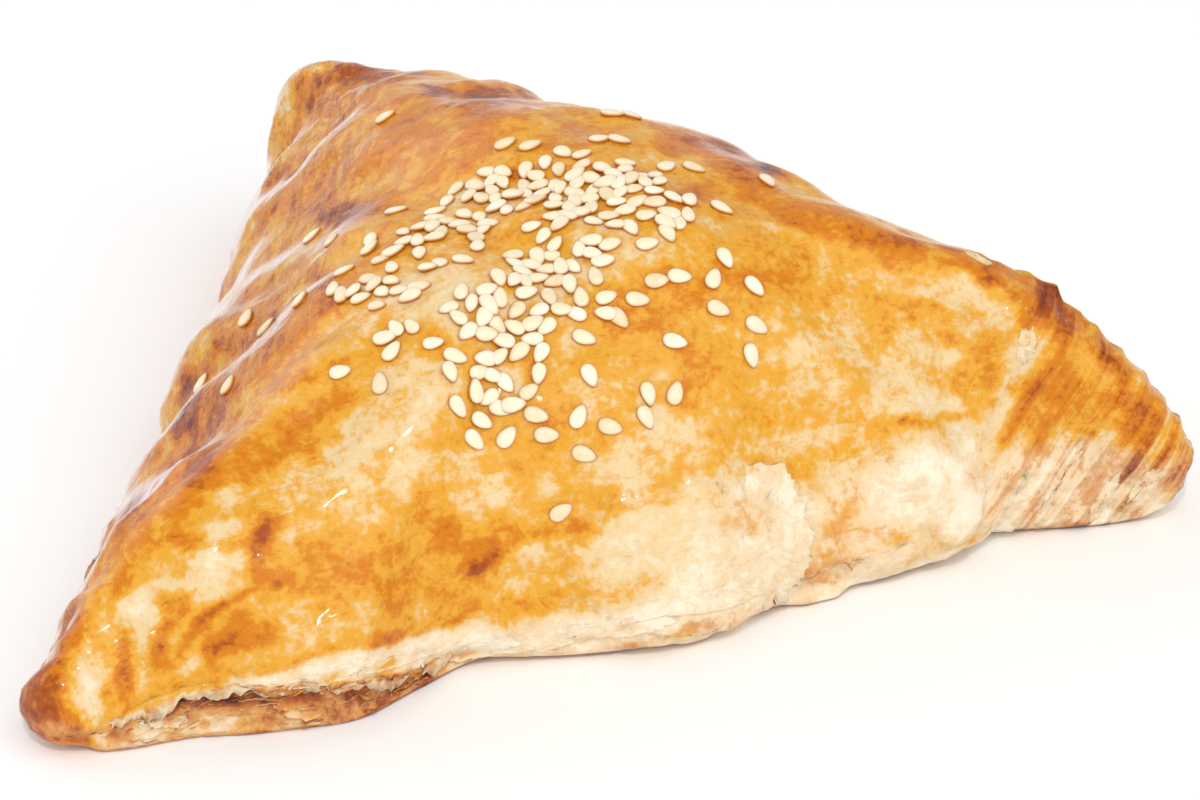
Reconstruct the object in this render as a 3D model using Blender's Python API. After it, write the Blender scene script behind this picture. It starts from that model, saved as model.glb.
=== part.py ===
"""A samsa: a three-cornered parcel of rolled puff dough, baked, with sesame seeds on its crown."""

import math
import random

import bmesh
import bpy
import numpy as np
from mathutils import Matrix, Vector
from mathutils.bvhtree import BVHTree

MM = 0.001

# Plan of the parcel in millimetres: front left, right and back corner, and the crown
CORNERS = np.array([(-80.5, -62.0), (80.5, -56.0), (-2.5, 77.5)])
CROWN = np.array([3.5, -22.5])
CROWN_HEIGHT = 44.5
CORNER_BLEND = (12.0, 13.0, 31.0)
SIDE_BOW = (0.0, 1.8, 0.0)

# Waves of the outline: side, place along it from 0 to 1, half width there, reach in millimetres
OUTLINE_WAVES = (
    (0, 0.21, 0.08, 1.0),
    (0, 0.26, 0.04, 1.8),
    (0, 0.35, 0.05, -2.4),
    (0, 0.51, 0.10, 3.0),
    (0, 0.64, 0.04, -0.1),
    (0, 0.72, 0.05, 1.0),
    (0, 0.84, 0.07, -4.8),
    (0, 0.93, 0.04, -1.0),
    (2, 0.22, 0.08, 1.6),
    (2, 0.45, 0.10, -0.6),
    (2, 0.62, 0.04, -3.8),
    (2, 0.80, 0.08, -0.2),
)

# Corner ends, as seen from the crown: bearing and half width in degrees, reach in millimetres
CORNER_ENDS = (
    (-163.0, 2.0, 1.8),
    (-158.0, 3.5, 0.5),
    (-153.5, 3.0, -3.6),
    (-149.0, 3.5, -3.2),
    (-25.0, 4.0, 2.8),
    (-20.0, 2.5, 2.2),
    (100.0, 5.0, 1.8),
    (108.0, 5.0, -1.4),
)

# Section towards front left corner, front side, right corner, right side, back corner, left side
RIM_HEIGHT = (5.4, 5.3, 8.2, 8.6, 12.0, 10.8)
RIM_TUCK = (6.5, 3.4, 7.2, 4.0, 3.0, 3.0)
SLOPE_POWER = (1.85, 2.0, 2.75, 3.0, 2.7, 1.9)
CROWN_POWER = (0.68, 0.80, 0.72, 0.77, 0.60, 0.79)
ROUND_RADIUS = 52.0
ROUND_SHARE = 0.95

# Waves of the rim's height on the front side: place along it, half width there, rise
RIM_WAVES = (
    (0.06, 0.04, -1.2),
    (0.19, 0.08, 2.6),
    (0.33, 0.04, -1.5),
    (0.53, 0.05, -1.8),
    (0.65, 0.05, -1.6),
)
FRONT_REACH = 9.0
FRONT_BLEND = 5.0

# The front left corner thins to a point: x, y, spread and share of the height that it loses
POINTED_TIP = (-76.5, -50.0, 5.0, 0.30)

# Lumps of the filling under the dough: x, y, spread and height
LUMPS = (
    (-6.5, 52.0, 9.0, 3.1),
    (-14.5, 56.0, 7.0, 5.0),
    (-4.5, 50.0, 5.0, 1.2),
    (5.5, 40.0, 5.0, -0.5),
    (11.5, 27.0, 5.0, 1.0),
    (16.5, 14.5, 5.0, -0.6),
    (18.5, -2.5, 5.0, 1.1),
    (29.0, -2.5, 5.0, -0.7),
    (37.0, -15.0, 6.0, 0.6),
    (45.0, -30.5, 5.0, -0.3),
    (65.0, -42.0, 5.0, 0.8),
    (31.5, -8.0, 14.0, 1.5),
    (14.0, 8.0, 12.0, 1.0),
    (-48.5, -28.0, 12.0, -1.0),
    (31.5, -36.0, 12.0, -2.0),
    (64.0, -38.0, 9.0, 2.4),
)

# The fold on the right shoulder: x, y, spread, height, and how far from the crown it drops
FOLD = (58.0, -36.0, 6.5, 2.4)
FOLD_EDGE = 61.0
FOLD_STEP = 1.2

# The bottom crust that shows under a torn lip on the front side: from and to, along the side,
# length over which the lip closes, and share of its full recess
FEET = (
    (0.03, 0.37, 0.05, 1.0),
    (0.50, 0.57, 0.03, 0.7),
    (0.61, 0.69, 0.03, 0.7),
)
FOOT_TUCK = 0.4
LIP_DROP = 0.9
LIP_RECESS = 1.1
LIP_RAGGED = 0.7
LIP_SHARPNESS = 0.5
LIP_FADE = 2.5

# Ridges of the rolled layers, in arcs about the crown: bearing, half width, inner and full radius,
# depth, and how far they lean in as they go down
RIDGE_FANS = (
    (-27.0, 26.0, 44.0, 58.0, 0.26, 0.6),
    (-155.0, 16.0, 62.0, 78.0, 0.24, 0.0),
    (104.0, 30.0, 40.0, 62.0, 0.10, 0.0),
)
RIDGE_PITCH = 4.6
RIDGE_WANDER = 1.4
SECOND_RIDGE = 0.6

# Thin torn sheets that stand off the crust: x, y, half length, half width, turn, thickness. The
# front face is steep, so height above SHEET_LEVEL counts there beside depth.
SHEETS = (
    (5.0, -57.0, 16.0, 9.0, -8.0, 0.6),
    (-30.0, -61.0, 22.0, 5.0, 4.0, 0.5),
    (44.0, -52.0, 9.0, 6.0, 20.0, 0.4),
    (52.0, -46.0, 5.0, 4.0, 60.0, 0.5),
)
SHEET_LEVEL = 10.0
SHEET_EDGE = 0.08
SHEET_RAGGED = 0.09

# Slow unevenness of the dough: number of waves, wavelength range and depth of each
SWELLS = ((14, 22.0, 40.0, 0.22), (18, 9.0, 16.0, 0.09))

# The relief fades out over this height above the ground
RELIEF_FROM = 0.2
RELIEF_OVER = 2.0

BODY_SEGMENTS = 160
BODY_RINGS = 72
BASE_SHARE = 0.07
WALL_SHARE = 0.26
RING_POWER = 1.3
BASE_DEPTH = 0.6
BASE_SNAP = 0.02
BODY_TRIANGLES = 3800
WHOLE_TRIANGLES = 11600

# Sesame seeds in millimetres
SEED_LENGTH = 3.2
SEED_WIDTH = 2.1
SEED_THICKNESS = 1.0
SEED_TAPER = 0.42
SEED_LIFT = 0.16
SEED_SPACING = 1.5
SEED_CLEAR = 2.0
SEED_PILE = 0.2
SEED_DRAW = 15
SEED_SIZES = (0.82, 1.03)
SEED_SCATTER = 0.62
SEED_REACH = 1.6
SEED_TRIES = 24

# Where the seeds fell: x, y, half length, half width, turn in degrees, number of seeds
SEED_PATCHES = (
    (-4.5, -15.5, 5.0, 3.0, -30.0, 15),
    (3.0, -22.0, 6.5, 3.5, -30.0, 30),
    (8.5, -28.5, 5.0, 3.5, -40.0, 19),
    (-11.0, -22.5, 5.0, 3.0, -20.0, 17),
    (2.0, -28.5, 4.0, 2.5, 0.0, 7),
    (-18.5, -24.0, 5.0, 2.5, -50.0, 8),
    (-22.0, -17.0, 2.5, 2.0, 0.0, 2),
    (-25.0, -29.0, 5.0, 3.5, -60.0, 15),
    (-26.5, -38.0, 4.0, 2.5, -10.0, 4),
    (-5.0, -36.5, 5.0, 3.5, -20.0, 26),
    (-9.0, -41.0, 5.5, 2.5, -10.0, 17),
    (-14.0, -39.5, 4.0, 2.0, -10.0, 6),
    (-16.0, -45.0, 5.0, 2.5, -20.0, 12),
    (-17.0, -48.0, 3.5, 1.5, -10.0, 5),
)
LONE_SEEDS = (
    (-9.5, 17.5, -20.0), (-1.5, -9.0, 8.0), (1.0, -11.5, 0.0), (4.0, -15.5, -70.0),
    (14.5, -4.5, -20.0), (17.0, -5.0, -56.0), (9.5, -13.5, 20.0), (12.0, -14.0, -30.0),
    (16.0, -20.5, 29.0), (19.5, -21.0, -40.0), (19.5, -30.5, -40.0), (28.5, -23.5, -87.0),
    (-24.5, 1.5, 8.0), (-24.5, -8.0, 54.0), (-32.0, -19.5, 34.0), (-36.5, -9.5, 43.0),
    (-35.5, -15.5, 0.0), (-43.0, -10.5, 20.0), (-43.0, -25.0, 34.0), (-29.0, -43.5, 65.0),
    (-26.5, -40.5, 35.0), (-16.5, -10.0, -20.0), (-13.0, -15.5, 8.0), (12.5, -34.0, 65.0),
    (10.5, -35.5, -85.0), (7.5, -36.5, 5.0), (3.0, -35.5, 5.0), (14.0, -42.0, 62.0),
    (16.5, -39.5, -80.0), (19.0, -43.0, -60.0), (13.5, -45.0, -35.0), (18.0, -46.5, -55.0),
    (16.5, -48.5, -82.0), (7.0, -47.5, -32.0), (1.0, -44.0, -70.0), (4.0, -42.5, -20.0),
    (7.0, -41.0, -5.0), (10.0, -41.0, -20.0), (2.0, -51.5, -85.0), (1.0, -53.5, -72.0),
    (5.5, -51.5, 70.0), (-3.5, -53.5, -45.0), (-7.0, -52.0, 62.0), (-7.0, -54.0, -60.0),
    (-11.0, -52.0, -25.0), (-15.5, -50.5, 47.0), (-19.5, -50.0, -60.0), (-21.0, -48.5, -60.0),
    (-10.5, -55.5, 45.0), (-4.5, -49.0, -88.0),
)


def ease(share):
    """A share from 0 to 1 with a soft start and a soft end."""
    share = np.clip(share, 0.0, 1.0)
    return share * share * (3.0 - 2.0 * share)


def bell(value, centre, width):
    return np.exp(-(((value - centre) / width) ** 2))


def side_frames():
    """Start, direction, inward normal and length of each side."""
    frames = []
    for corner in range(3):
        start = CORNERS[corner]
        run = CORNERS[(corner + 1) % 3] - start
        length = float(np.hypot(run[0], run[1]))
        along = run / length
        frames.append((start, along, np.array((-along[1], along[0])), length))
    return frames


def bearing(points):
    """Angle of plan points about the crown."""
    return np.arctan2(points[:, 1] - CROWN[1], points[:, 0] - CROWN[0])


def place_along(points, side):
    """How far along a side plan points lie, from 0 to 1."""
    start, along, _, length = side_frames()[side]
    return (points - start) @ along / length


def depth_inside(points):
    """How far plan points lie inside the three sides, with the corners rounded off."""
    depths = []
    for side, (start, along, inward, length) in enumerate(side_frames()):
        place = (points - start) @ along / length
        held = np.clip(place, 0.0, 1.0)
        depth = (points - start) @ inward + SIDE_BOW[side] * 4.0 * held * (1.0 - held)
        for waved, centre, width, reach in OUTLINE_WAVES:
            if waved == side:
                depth = depth + reach * bell(place, centre, width)
        depths.append(depth)
    inside = np.full(len(points), 1000.0)
    for corner, blend in enumerate(CORNER_BLEND):
        before = depths[corner - 1]
        after = depths[corner]
        overlap = np.maximum(blend - np.abs(before - after), 0.0)
        rounded = np.minimum(before, after) - overlap**2 / (4.0 * blend)
        inside = np.minimum(inside, rounded)
    return inside


def outline_radius(angles):
    """Distance from the crown to the outline at each angle, found by halving."""
    rays = np.column_stack((np.cos(angles), np.sin(angles)))
    near = np.zeros(len(angles))
    far = np.full(len(angles), 150.0)
    for _ in range(32):
        middle = (near + far) / 2.0
        within = depth_inside(CROWN + rays * middle[:, None]) > 0.0
        near = np.where(within, middle, near)
        far = np.where(within, far, middle)
    for end, width, reach in CORNER_ENDS:
        turn = np.degrees(angles) - end
        turn = (turn + 180.0) % 360.0 - 180.0
        near = near + reach * bell(turn, 0.0, width)
    return near


def outline_angles(turns):
    """Angles about the crown for shares of the outline's length."""
    dense = np.linspace(0.0, 2.0 * math.pi, 2401)
    rays = np.column_stack((np.cos(dense), np.sin(dense)))
    points = rays * outline_radius(dense)[:, None]
    steps = np.hypot(*np.diff(points, axis=0).T)
    run = np.concatenate(([0.0], np.cumsum(steps)))
    return np.interp(turns * run[-1], run, dense)


def around(angles, values):
    """Blend six values, set towards the corners and the middles of the sides."""
    middles = (CORNERS + np.roll(CORNERS, -1, axis=0)) / 2.0
    posts = np.empty((6, 2))
    posts[0::2] = CORNERS
    posts[1::2] = middles
    marks = np.unwrap(bearing(posts))
    marks = np.concatenate((marks, [marks[0] + 2.0 * math.pi]))
    turned = (angles - marks[0]) % (2.0 * math.pi) + marks[0]
    index = np.clip(np.searchsorted(marks, turned, side="right") - 1, 0, 5)
    share = ease((turned - marks[index]) / (marks[index + 1] - marks[index]))
    table = np.array(values + values[:1])
    return table[index] * (1.0 - share) + table[index + 1] * share


def swell_waves(count, shortest, longest):
    """Seeded plane waves that make the dough uneven."""
    draw = random.Random(count)
    waves = []
    for _ in range(count):
        heading = draw.uniform(0.0, math.pi)
        length = draw.uniform(shortest, longest)
        tilt = draw.uniform(-0.7, 0.7)
        vector = np.array((math.cos(heading), math.sin(heading), tilt)) * 2.0 * math.pi / length
        waves.append((vector, draw.uniform(0.0, 2.0 * math.pi)))
    return waves


def swell(points):
    """Slow unevenness at points in space."""
    height = np.zeros(len(points))
    for count, shortest, longest, depth in SWELLS:
        for vector, phase in swell_waves(count, shortest, longest):
            height += depth * np.sin(points @ vector + phase)
    return height


def ragged(values, reach):
    """A torn line: a sum of unlike sines along a length in millimetres."""
    line = np.sin(values * 0.9 + 0.4) + 0.7 * np.sin(values * 2.3 + 1.1) + 0.5 * np.sin(values * 4.1)
    return reach * line / 2.2


def front_share(points):
    """1 along the front side, 0 towards the other sides."""
    start, _, inward, _ = side_frames()[0]
    return ease((FRONT_REACH - (points - start) @ inward) / FRONT_BLEND)


def foot_share(points):
    """1 where the bottom crust shows under the torn lip, 0 elsewhere."""
    place = place_along(points, 0)
    foot = np.zeros(len(points))
    for start, end, closing, share in FEET:
        rise = ease((place - start) / closing)
        fall = ease((end - place) / closing)
        foot = np.maximum(foot, rise * fall * share)
    return foot * front_share(points)


def rim_height(angles, points):
    """Height of the widest line over plan points of the outline."""
    waves = np.zeros(len(points))
    for centre, width, rise in RIM_WAVES:
        waves += rise * bell(place_along(points, 0), centre, width)
    return around(angles, RIM_HEIGHT) + waves * front_share(points)


def tip_share(plan):
    """Share of the height that is left where the pointed corner thins out."""
    x, y, spread, loss = POINTED_TIP
    away = (plan[:, 0] - x) ** 2 + (plan[:, 1] - y) ** 2
    return 1.0 - loss * np.exp(-away / (spread * spread))


def wall_points(angles, share):
    """From the ground up to the widest line of the rim."""
    radius = outline_radius(angles)
    rays = np.column_stack((np.cos(angles), np.sin(angles)))
    outline = CROWN + rays * radius[:, None]
    foot = foot_share(outline)
    tuck = around(angles, RIM_TUCK) * (1.0 - foot) + FOOT_TUCK * foot
    rim = rim_height(angles, outline)
    lean = (1.0 - share) * math.pi / 2.0
    height = rim * (1.0 - np.sin(lean))
    reach = radius - tuck * (1.0 - np.cos(lean))
    place = place_along(outline, 0) * side_frames()[0][3]
    lip = rim - LIP_DROP + ragged(place, LIP_RAGGED)
    under = ease((lip - height) / LIP_SHARPNESS + 0.5) * ease(height / LIP_FADE)
    plan = CROWN + rays * (reach - foot * LIP_RECESS * under)[:, None]
    return np.column_stack((plan, height * tip_share(plan)))


def fold_height(plan):
    """The lobe of folded dough on the right shoulder, with a drop on its outer side."""
    x, y, spread, height = FOLD
    away = (plan[:, 0] - x) ** 2 + (plan[:, 1] - y) ** 2
    out = np.hypot(plan[:, 0] - CROWN[0], plan[:, 1] - CROWN[1])
    drop = 1.0 - ease((out - FOLD_EDGE) / FOLD_STEP)
    return height * np.exp(-away / (2.0 * spread * spread)) * drop


def top_points(angles, share):
    """From the widest line of the rim up to the crown."""
    radius = outline_radius(angles)
    rays = np.column_stack((np.cos(angles), np.sin(angles)))
    rim = rim_height(angles, CROWN + rays * radius[:, None])
    rounding = share * ROUND_SHARE
    radius = radius * (1.0 - rounding) + ROUND_RADIUS * rounding
    plan = CROWN + rays * (radius * (1.0 - share))[:, None]
    arch = 1.0 - (1.0 - share) ** around(angles, SLOPE_POWER)
    height = rim + (CROWN_HEIGHT - rim) * arch ** around(angles, CROWN_POWER)
    for x, y, spread, lump in LUMPS:
        away = (plan[:, 0] - x) ** 2 + (plan[:, 1] - y) ** 2
        height = height + lump * np.exp(-away / (2.0 * spread * spread))
    height = (height + fold_height(plan)) * tip_share(plan)
    return np.column_stack((plan, height))


def parcel_points(turns, rises):
    """Points of the parcel for shares around it and shares up it."""
    angles = outline_angles(turns)
    points = np.zeros((len(turns), 3))
    base = rises < BASE_SHARE
    top = rises >= WALL_SHARE
    wall = ~base & ~top
    ground = wall_points(angles[base], np.zeros(int(base.sum())))
    spread = (rises[base] / BASE_SHARE)[:, None]
    points[base, :2] = CROWN + (ground[:, :2] - CROWN) * spread
    points[base, 2] = -BASE_DEPTH
    points[wall] = wall_points(angles[wall], (rises[wall] - BASE_SHARE) / (WALL_SHARE - BASE_SHARE))
    share = np.clip((rises[top] - WALL_SHARE) / (1.0 - WALL_SHARE), 0.0, 1.0)
    points[top] = top_points(angles[top], share**RING_POWER)
    return points


def ridges(points):
    """Edges of the rolled layers, strongest at the corners."""
    out = np.hypot(points[:, 0] - CROWN[0], points[:, 1] - CROWN[1])
    angles = np.degrees(bearing(points))
    wander = RIDGE_WANDER * np.sin(np.radians(angles) * 9.0)
    height = np.zeros(len(points))
    for centre, width, inner, full, depth, lean in RIDGE_FANS:
        phase = 2.0 * math.pi * (out + wander - lean * points[:, 2]) / RIDGE_PITCH
        comb = np.sin(phase) + SECOND_RIDGE * np.sin(phase * 1.73 + 0.8)
        turn = (angles - centre + 180.0) % 360.0 - 180.0
        strength = ease((out - inner) / (full - inner)) * bell(turn, 0.0, width)
        height += depth * strength * comb
    return height


def sheets(points):
    """Torn sheets that stand off the crust by their thickness."""
    height = np.zeros(len(points))
    for x, y, length, width, turn, thickness in SHEETS:
        angle = math.radians(turn)
        across = points[:, 0] - x
        along = (points[:, 1] - y) * 0.5 + (points[:, 2] - SHEET_LEVEL) * 0.8
        u = (across * math.cos(angle) + along * math.sin(angle)) / length
        v = (along * math.cos(angle) - across * math.sin(angle)) / width
        edge = 1.0 - np.hypot(u, v) + ragged(across * 1.3 + points[:, 2], SHEET_RAGGED)
        height += thickness * ease(edge / SHEET_EDGE) * (points[:, 1] < CROWN[1])
    return height


def relief(points):
    """How far each point stands off the smooth form."""
    ground = ease((points[:, 2] - RELIEF_FROM) / RELIEF_OVER)
    return (swell(points) + ridges(points) + sheets(points)) * ground


def read_vectors(mesh, name):
    values = np.empty(len(mesh.vertices) * 3)
    mesh.vertices.foreach_get(name, values)
    return values.reshape(-1, 3)


def write_points(mesh, points):
    mesh.vertices.foreach_set("co", (points * MM).ravel())
    mesh.update()


def apply_modifier(obj, modifier):
    bpy.ops.object.select_all(action="DESELECT")
    obj.select_set(True)
    bpy.context.view_layer.objects.active = obj
    bpy.ops.object.modifier_apply(modifier=modifier.name)


def make_body():
    """Turn a UV sphere into the parcel."""
    bpy.ops.mesh.primitive_uv_sphere_add(segments=BODY_SEGMENTS, ring_count=BODY_RINGS, radius=1.0)
    body = bpy.context.object
    body.name = "samsa"
    mesh = body.data
    mesh.name = "samsa"
    ball = read_vectors(mesh, "co")
    turns = np.arctan2(ball[:, 1], ball[:, 0]) / (2.0 * math.pi) % 1.0
    rises = np.arcsin(np.clip(ball[:, 2], -1.0, 1.0)) / math.pi + 0.5
    points = parcel_points(turns, rises)
    write_points(mesh, points)
    normals = np.empty(len(mesh.vertices) * 3)
    mesh.vertex_normals.foreach_get("vector", normals)
    points = points + normals.reshape(-1, 3) * relief(points)[:, None]
    write_points(mesh, points)
    return body


def thin_out(body, target):
    """Keep the triangles where the form needs them."""
    triangles = sum(len(face.vertices) - 2 for face in body.data.polygons)
    decimate = body.modifiers.new("Thin out", "DECIMATE")
    decimate.decimate_type = "COLLAPSE"
    decimate.use_collapse_triangulate = True
    decimate.ratio = target / triangles
    apply_modifier(body, decimate)


def cut_base(body):
    """Cut the underside flat on the ground."""
    form = bmesh.new()
    form.from_mesh(body.data)
    geometry = form.verts[:] + form.edges[:] + form.faces[:]
    bmesh.ops.bisect_plane(
        form, geom=geometry, plane_co=(0.0, 0.0, 0.0), plane_no=(0.0, 0.0, -1.0), clear_outer=True
    )
    rim = [edge for edge in form.edges if edge.is_boundary]
    bmesh.ops.triangle_fill(form, use_beauty=True, use_dissolve=False, edges=rim)
    bmesh.ops.triangulate(form, faces=form.faces[:])
    bmesh.ops.recalc_face_normals(form, faces=form.faces[:])
    form.to_mesh(body.data)
    form.free()


def settle_base(body):
    """Bring the underside back onto the ground exactly."""
    points = read_vectors(body.data, "co")
    points[np.abs(points[:, 2]) < BASE_SNAP * MM, 2] = 0.0
    body.data.vertices.foreach_set("co", points.ravel())
    body.data.update()


def centre_on_plan(body):
    """Bring the middle of the bounding box over the origin."""
    points = read_vectors(body.data, "co")
    middle = (points.min(axis=0) + points.max(axis=0)) / 2.0
    points[:, :2] -= middle[:2]
    body.data.vertices.foreach_set("co", points.ravel())
    body.data.update()


def seed_spots():
    """Plan place, heading, size and lift of each seed; one that lies over another sits higher."""
    draw = random.Random(SEED_DRAW)
    spots = [(x, y, turn, 1.0, SEED_LIFT) for x, y, turn in LONE_SEEDS]
    for x, y, length, width, turn, count in SEED_PATCHES:
        angle = math.radians(turn)
        placed = 0
        for _ in range(count * SEED_TRIES):
            if placed == count:
                break
            u = max(-SEED_REACH, min(SEED_REACH, draw.gauss(0.0, SEED_SCATTER))) * length
            v = max(-SEED_REACH, min(SEED_REACH, draw.gauss(0.0, SEED_SCATTER))) * width
            px = x + u * math.cos(angle) - v * math.sin(angle)
            py = y + u * math.sin(angle) + v * math.cos(angle)
            heading = draw.uniform(0.0, 360.0)
            size = draw.uniform(*SEED_SIZES)
            gap = min(math.hypot(px - spot[0], py - spot[1]) for spot in spots)
            if gap > SEED_SPACING:
                pile = SEED_PILE if gap < SEED_CLEAR else 0.0
                spots.append((px, py, heading, size, SEED_LIFT + pile))
                placed += 1
    return spots


def make_seed_mesh():
    """A flat drop, narrower at one end."""
    bpy.ops.mesh.primitive_uv_sphere_add(segments=6, ring_count=4, radius=0.5)
    seed = bpy.context.object
    mesh = seed.data
    ball = read_vectors(mesh, "co")
    # The sphere's poles become the two ends of the seed
    along = ball[:, 2]
    girth = 1.0 - SEED_TAPER * (along + 0.5)
    girth = girth * (1.0 + SEED_TAPER / 2.0)
    shaped = np.column_stack(
        (along * SEED_LENGTH, ball[:, 0] * SEED_WIDTH * girth, ball[:, 1] * SEED_THICKNESS * girth)
    )
    mesh.vertices.foreach_set("co", (shaped * MM).ravel())
    mesh.update()
    bpy.data.objects.remove(seed)
    return mesh


def lay_seeds(body, seed_mesh):
    """Drop each seed on the crust and lean it with the surface."""
    form = bmesh.new()
    form.from_mesh(body.data)
    tree = BVHTree.FromBMesh(form)
    form.free()
    basket = bpy.data.collections.new("seeds")
    bpy.context.scene.collection.children.link(basket)
    for number, (x, y, heading, size, rise) in enumerate(seed_spots()):
        above = Vector((x * MM, y * MM, 0.1))
        spot, normal, _, _ = tree.ray_cast(above, Vector((0.0, 0.0, -1.0)))
        if spot is None:
            continue
        forward = Vector((math.cos(math.radians(heading)), math.sin(math.radians(heading)), 0.0))
        side = normal.cross(forward).normalized()
        forward = side.cross(normal)
        turn = Matrix((forward, side, normal)).transposed().to_4x4()
        seed = bpy.data.objects.new(f"seed_{number:03d}", seed_mesh)
        lift = Matrix.Translation(spot + normal * rise * MM)
        seed.matrix_world = lift @ turn @ Matrix.Scale(size, 4)
        basket.objects.link(seed)
    bpy.context.view_layer.update()
    return basket


def fuse(body, basket):
    """Join the seeds to the crust, then drop the loose copies."""
    union = body.modifiers.new("Seeds", "BOOLEAN")
    union.operation = "UNION"
    union.operand_type = "COLLECTION"
    union.collection = basket
    union.solver = "EXACT"
    union.use_self = False
    apply_modifier(body, union)
    for seed in list(basket.objects):
        bpy.data.objects.remove(seed)
    bpy.data.collections.remove(basket)


def make_material():
    """Golden baked puff dough."""
    material = bpy.data.materials.new("baked_puff_pastry")
    material.use_nodes = True
    shader = material.node_tree.nodes["Principled BSDF"]
    shader.inputs["Base Color"].default_value = (0.80, 0.46, 0.14, 1.0)
    shader.inputs["Roughness"].default_value = 0.42
    shader.inputs["Metallic"].default_value = 0.0
    return material


def main():
    for obj in list(bpy.data.objects):
        bpy.data.objects.remove(obj)
    body = make_body()
    thin_out(body, BODY_TRIANGLES)
    cut_base(body)
    centre_on_plan(body)
    basket = lay_seeds(body, make_seed_mesh())
    fuse(body, basket)
    thin_out(body, WHOLE_TRIANGLES)
    settle_base(body)
    body.data.materials.clear()
    body.data.materials.append(make_material())
    parcel = bpy.data.collections.new("samsa")
    bpy.context.scene.collection.children.link(parcel)
    for owner in list(body.users_collection):
        owner.objects.unlink(body)
    parcel.objects.link(body)


main()
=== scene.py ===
import math
import random

import bpy
import numpy as np
from mathutils import Matrix, Vector, noise
from mathutils.bvhtree import BVHTree


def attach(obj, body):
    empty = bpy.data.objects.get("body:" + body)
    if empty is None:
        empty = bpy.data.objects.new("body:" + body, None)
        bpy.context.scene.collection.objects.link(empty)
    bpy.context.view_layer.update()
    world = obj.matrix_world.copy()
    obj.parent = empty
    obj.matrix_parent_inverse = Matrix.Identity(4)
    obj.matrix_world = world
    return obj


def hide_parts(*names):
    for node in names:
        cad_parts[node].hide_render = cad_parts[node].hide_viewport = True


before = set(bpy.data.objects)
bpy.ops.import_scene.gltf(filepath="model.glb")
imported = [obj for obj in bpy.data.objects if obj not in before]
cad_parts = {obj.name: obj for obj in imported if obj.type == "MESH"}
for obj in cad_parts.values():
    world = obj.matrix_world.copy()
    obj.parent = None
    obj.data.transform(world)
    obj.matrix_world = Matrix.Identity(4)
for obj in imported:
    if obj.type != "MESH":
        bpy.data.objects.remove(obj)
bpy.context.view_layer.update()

MM = 0.001

# Plan of the parcel in millimetres: front left, right and back corner, and the crown
CORNERS = np.array([(-80.5, -62.0), (80.5, -56.0), (-2.5, 77.5)])
CROWN = np.array([3.5, -22.5])
CROWN_HEIGHT = 44.5
CORNER_BLEND = (12.0, 13.0, 31.0)
SIDE_BOW = (0.0, 1.8, 0.0)

# Waves of the outline: side, place along it from 0 to 1, half width there, reach in millimetres
OUTLINE_WAVES = (
    (0, 0.21, 0.08, 1.0),
    (0, 0.26, 0.04, 1.8),
    (0, 0.35, 0.05, -2.4),
    (0, 0.51, 0.10, 3.0),
    (0, 0.64, 0.04, -0.1),
    (0, 0.72, 0.05, 1.0),
    (0, 0.84, 0.07, -4.8),
    (0, 0.93, 0.04, -1.0),
    (2, 0.22, 0.08, 1.6),
    (2, 0.45, 0.10, -0.6),
    (2, 0.62, 0.04, -3.8),
    (2, 0.80, 0.08, -0.2),
)

# Corner ends, as seen from the crown: bearing and half width in degrees, reach in millimetres
CORNER_ENDS = (
    (-163.0, 2.0, 1.8),
    (-158.0, 3.5, 0.5),
    (-153.5, 3.0, -3.6),
    (-149.0, 3.5, -3.2),
    (-25.0, 4.0, 2.8),
    (-20.0, 2.5, 2.2),
    (100.0, 5.0, 1.8),
    (108.0, 5.0, -1.4),
)

# Section towards front left corner, front side, right corner, right side, back corner, left side
RIM_HEIGHT = (5.4, 5.3, 8.2, 8.6, 12.0, 10.8)
RIM_TUCK = (6.5, 3.4, 7.2, 4.0, 3.0, 3.0)
SLOPE_POWER = (1.85, 2.0, 2.75, 3.0, 2.7, 1.9)
CROWN_POWER = (0.68, 0.80, 0.72, 0.77, 0.60, 0.79)
ROUND_RADIUS = 52.0
ROUND_SHARE = 0.95

# Waves of the rim's height on the front side: place along it, half width there, rise
RIM_WAVES = (
    (0.06, 0.04, -1.2),
    (0.19, 0.08, 2.6),
    (0.33, 0.04, -1.5),
    (0.53, 0.05, -1.8),
    (0.65, 0.05, -1.6),
)
FRONT_REACH = 9.0
FRONT_BLEND = 5.0

# The front left corner thins to a point: x, y, spread and share of the height that it loses
POINTED_TIP = (-76.5, -50.0, 5.0, 0.30)

# Lumps of the filling under the dough: x, y, spread and height
LUMPS = (
    (-6.5, 52.0, 9.0, 3.1),
    (-14.5, 56.0, 7.0, 5.0),
    (-4.5, 50.0, 5.0, 1.2),
    (5.5, 40.0, 5.0, -0.5),
    (11.5, 27.0, 5.0, 1.0),
    (16.5, 14.5, 5.0, -0.6),
    (18.5, -2.5, 5.0, 1.1),
    (29.0, -2.5, 5.0, -0.7),
    (37.0, -15.0, 6.0, 0.6),
    (45.0, -30.5, 5.0, -0.3),
    (65.0, -42.0, 5.0, 0.8),
    (31.5, -8.0, 14.0, 1.5),
    (14.0, 8.0, 12.0, 1.0),
    (-48.5, -28.0, 12.0, -1.0),
    (31.5, -36.0, 12.0, -2.0),
    (64.0, -38.0, 9.0, 2.4),
)

# The fold on the right shoulder: x, y, spread, height, and how far from the crown it drops
FOLD = (58.0, -36.0, 6.5, 2.4)
FOLD_EDGE = 61.0
FOLD_STEP = 1.2

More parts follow.
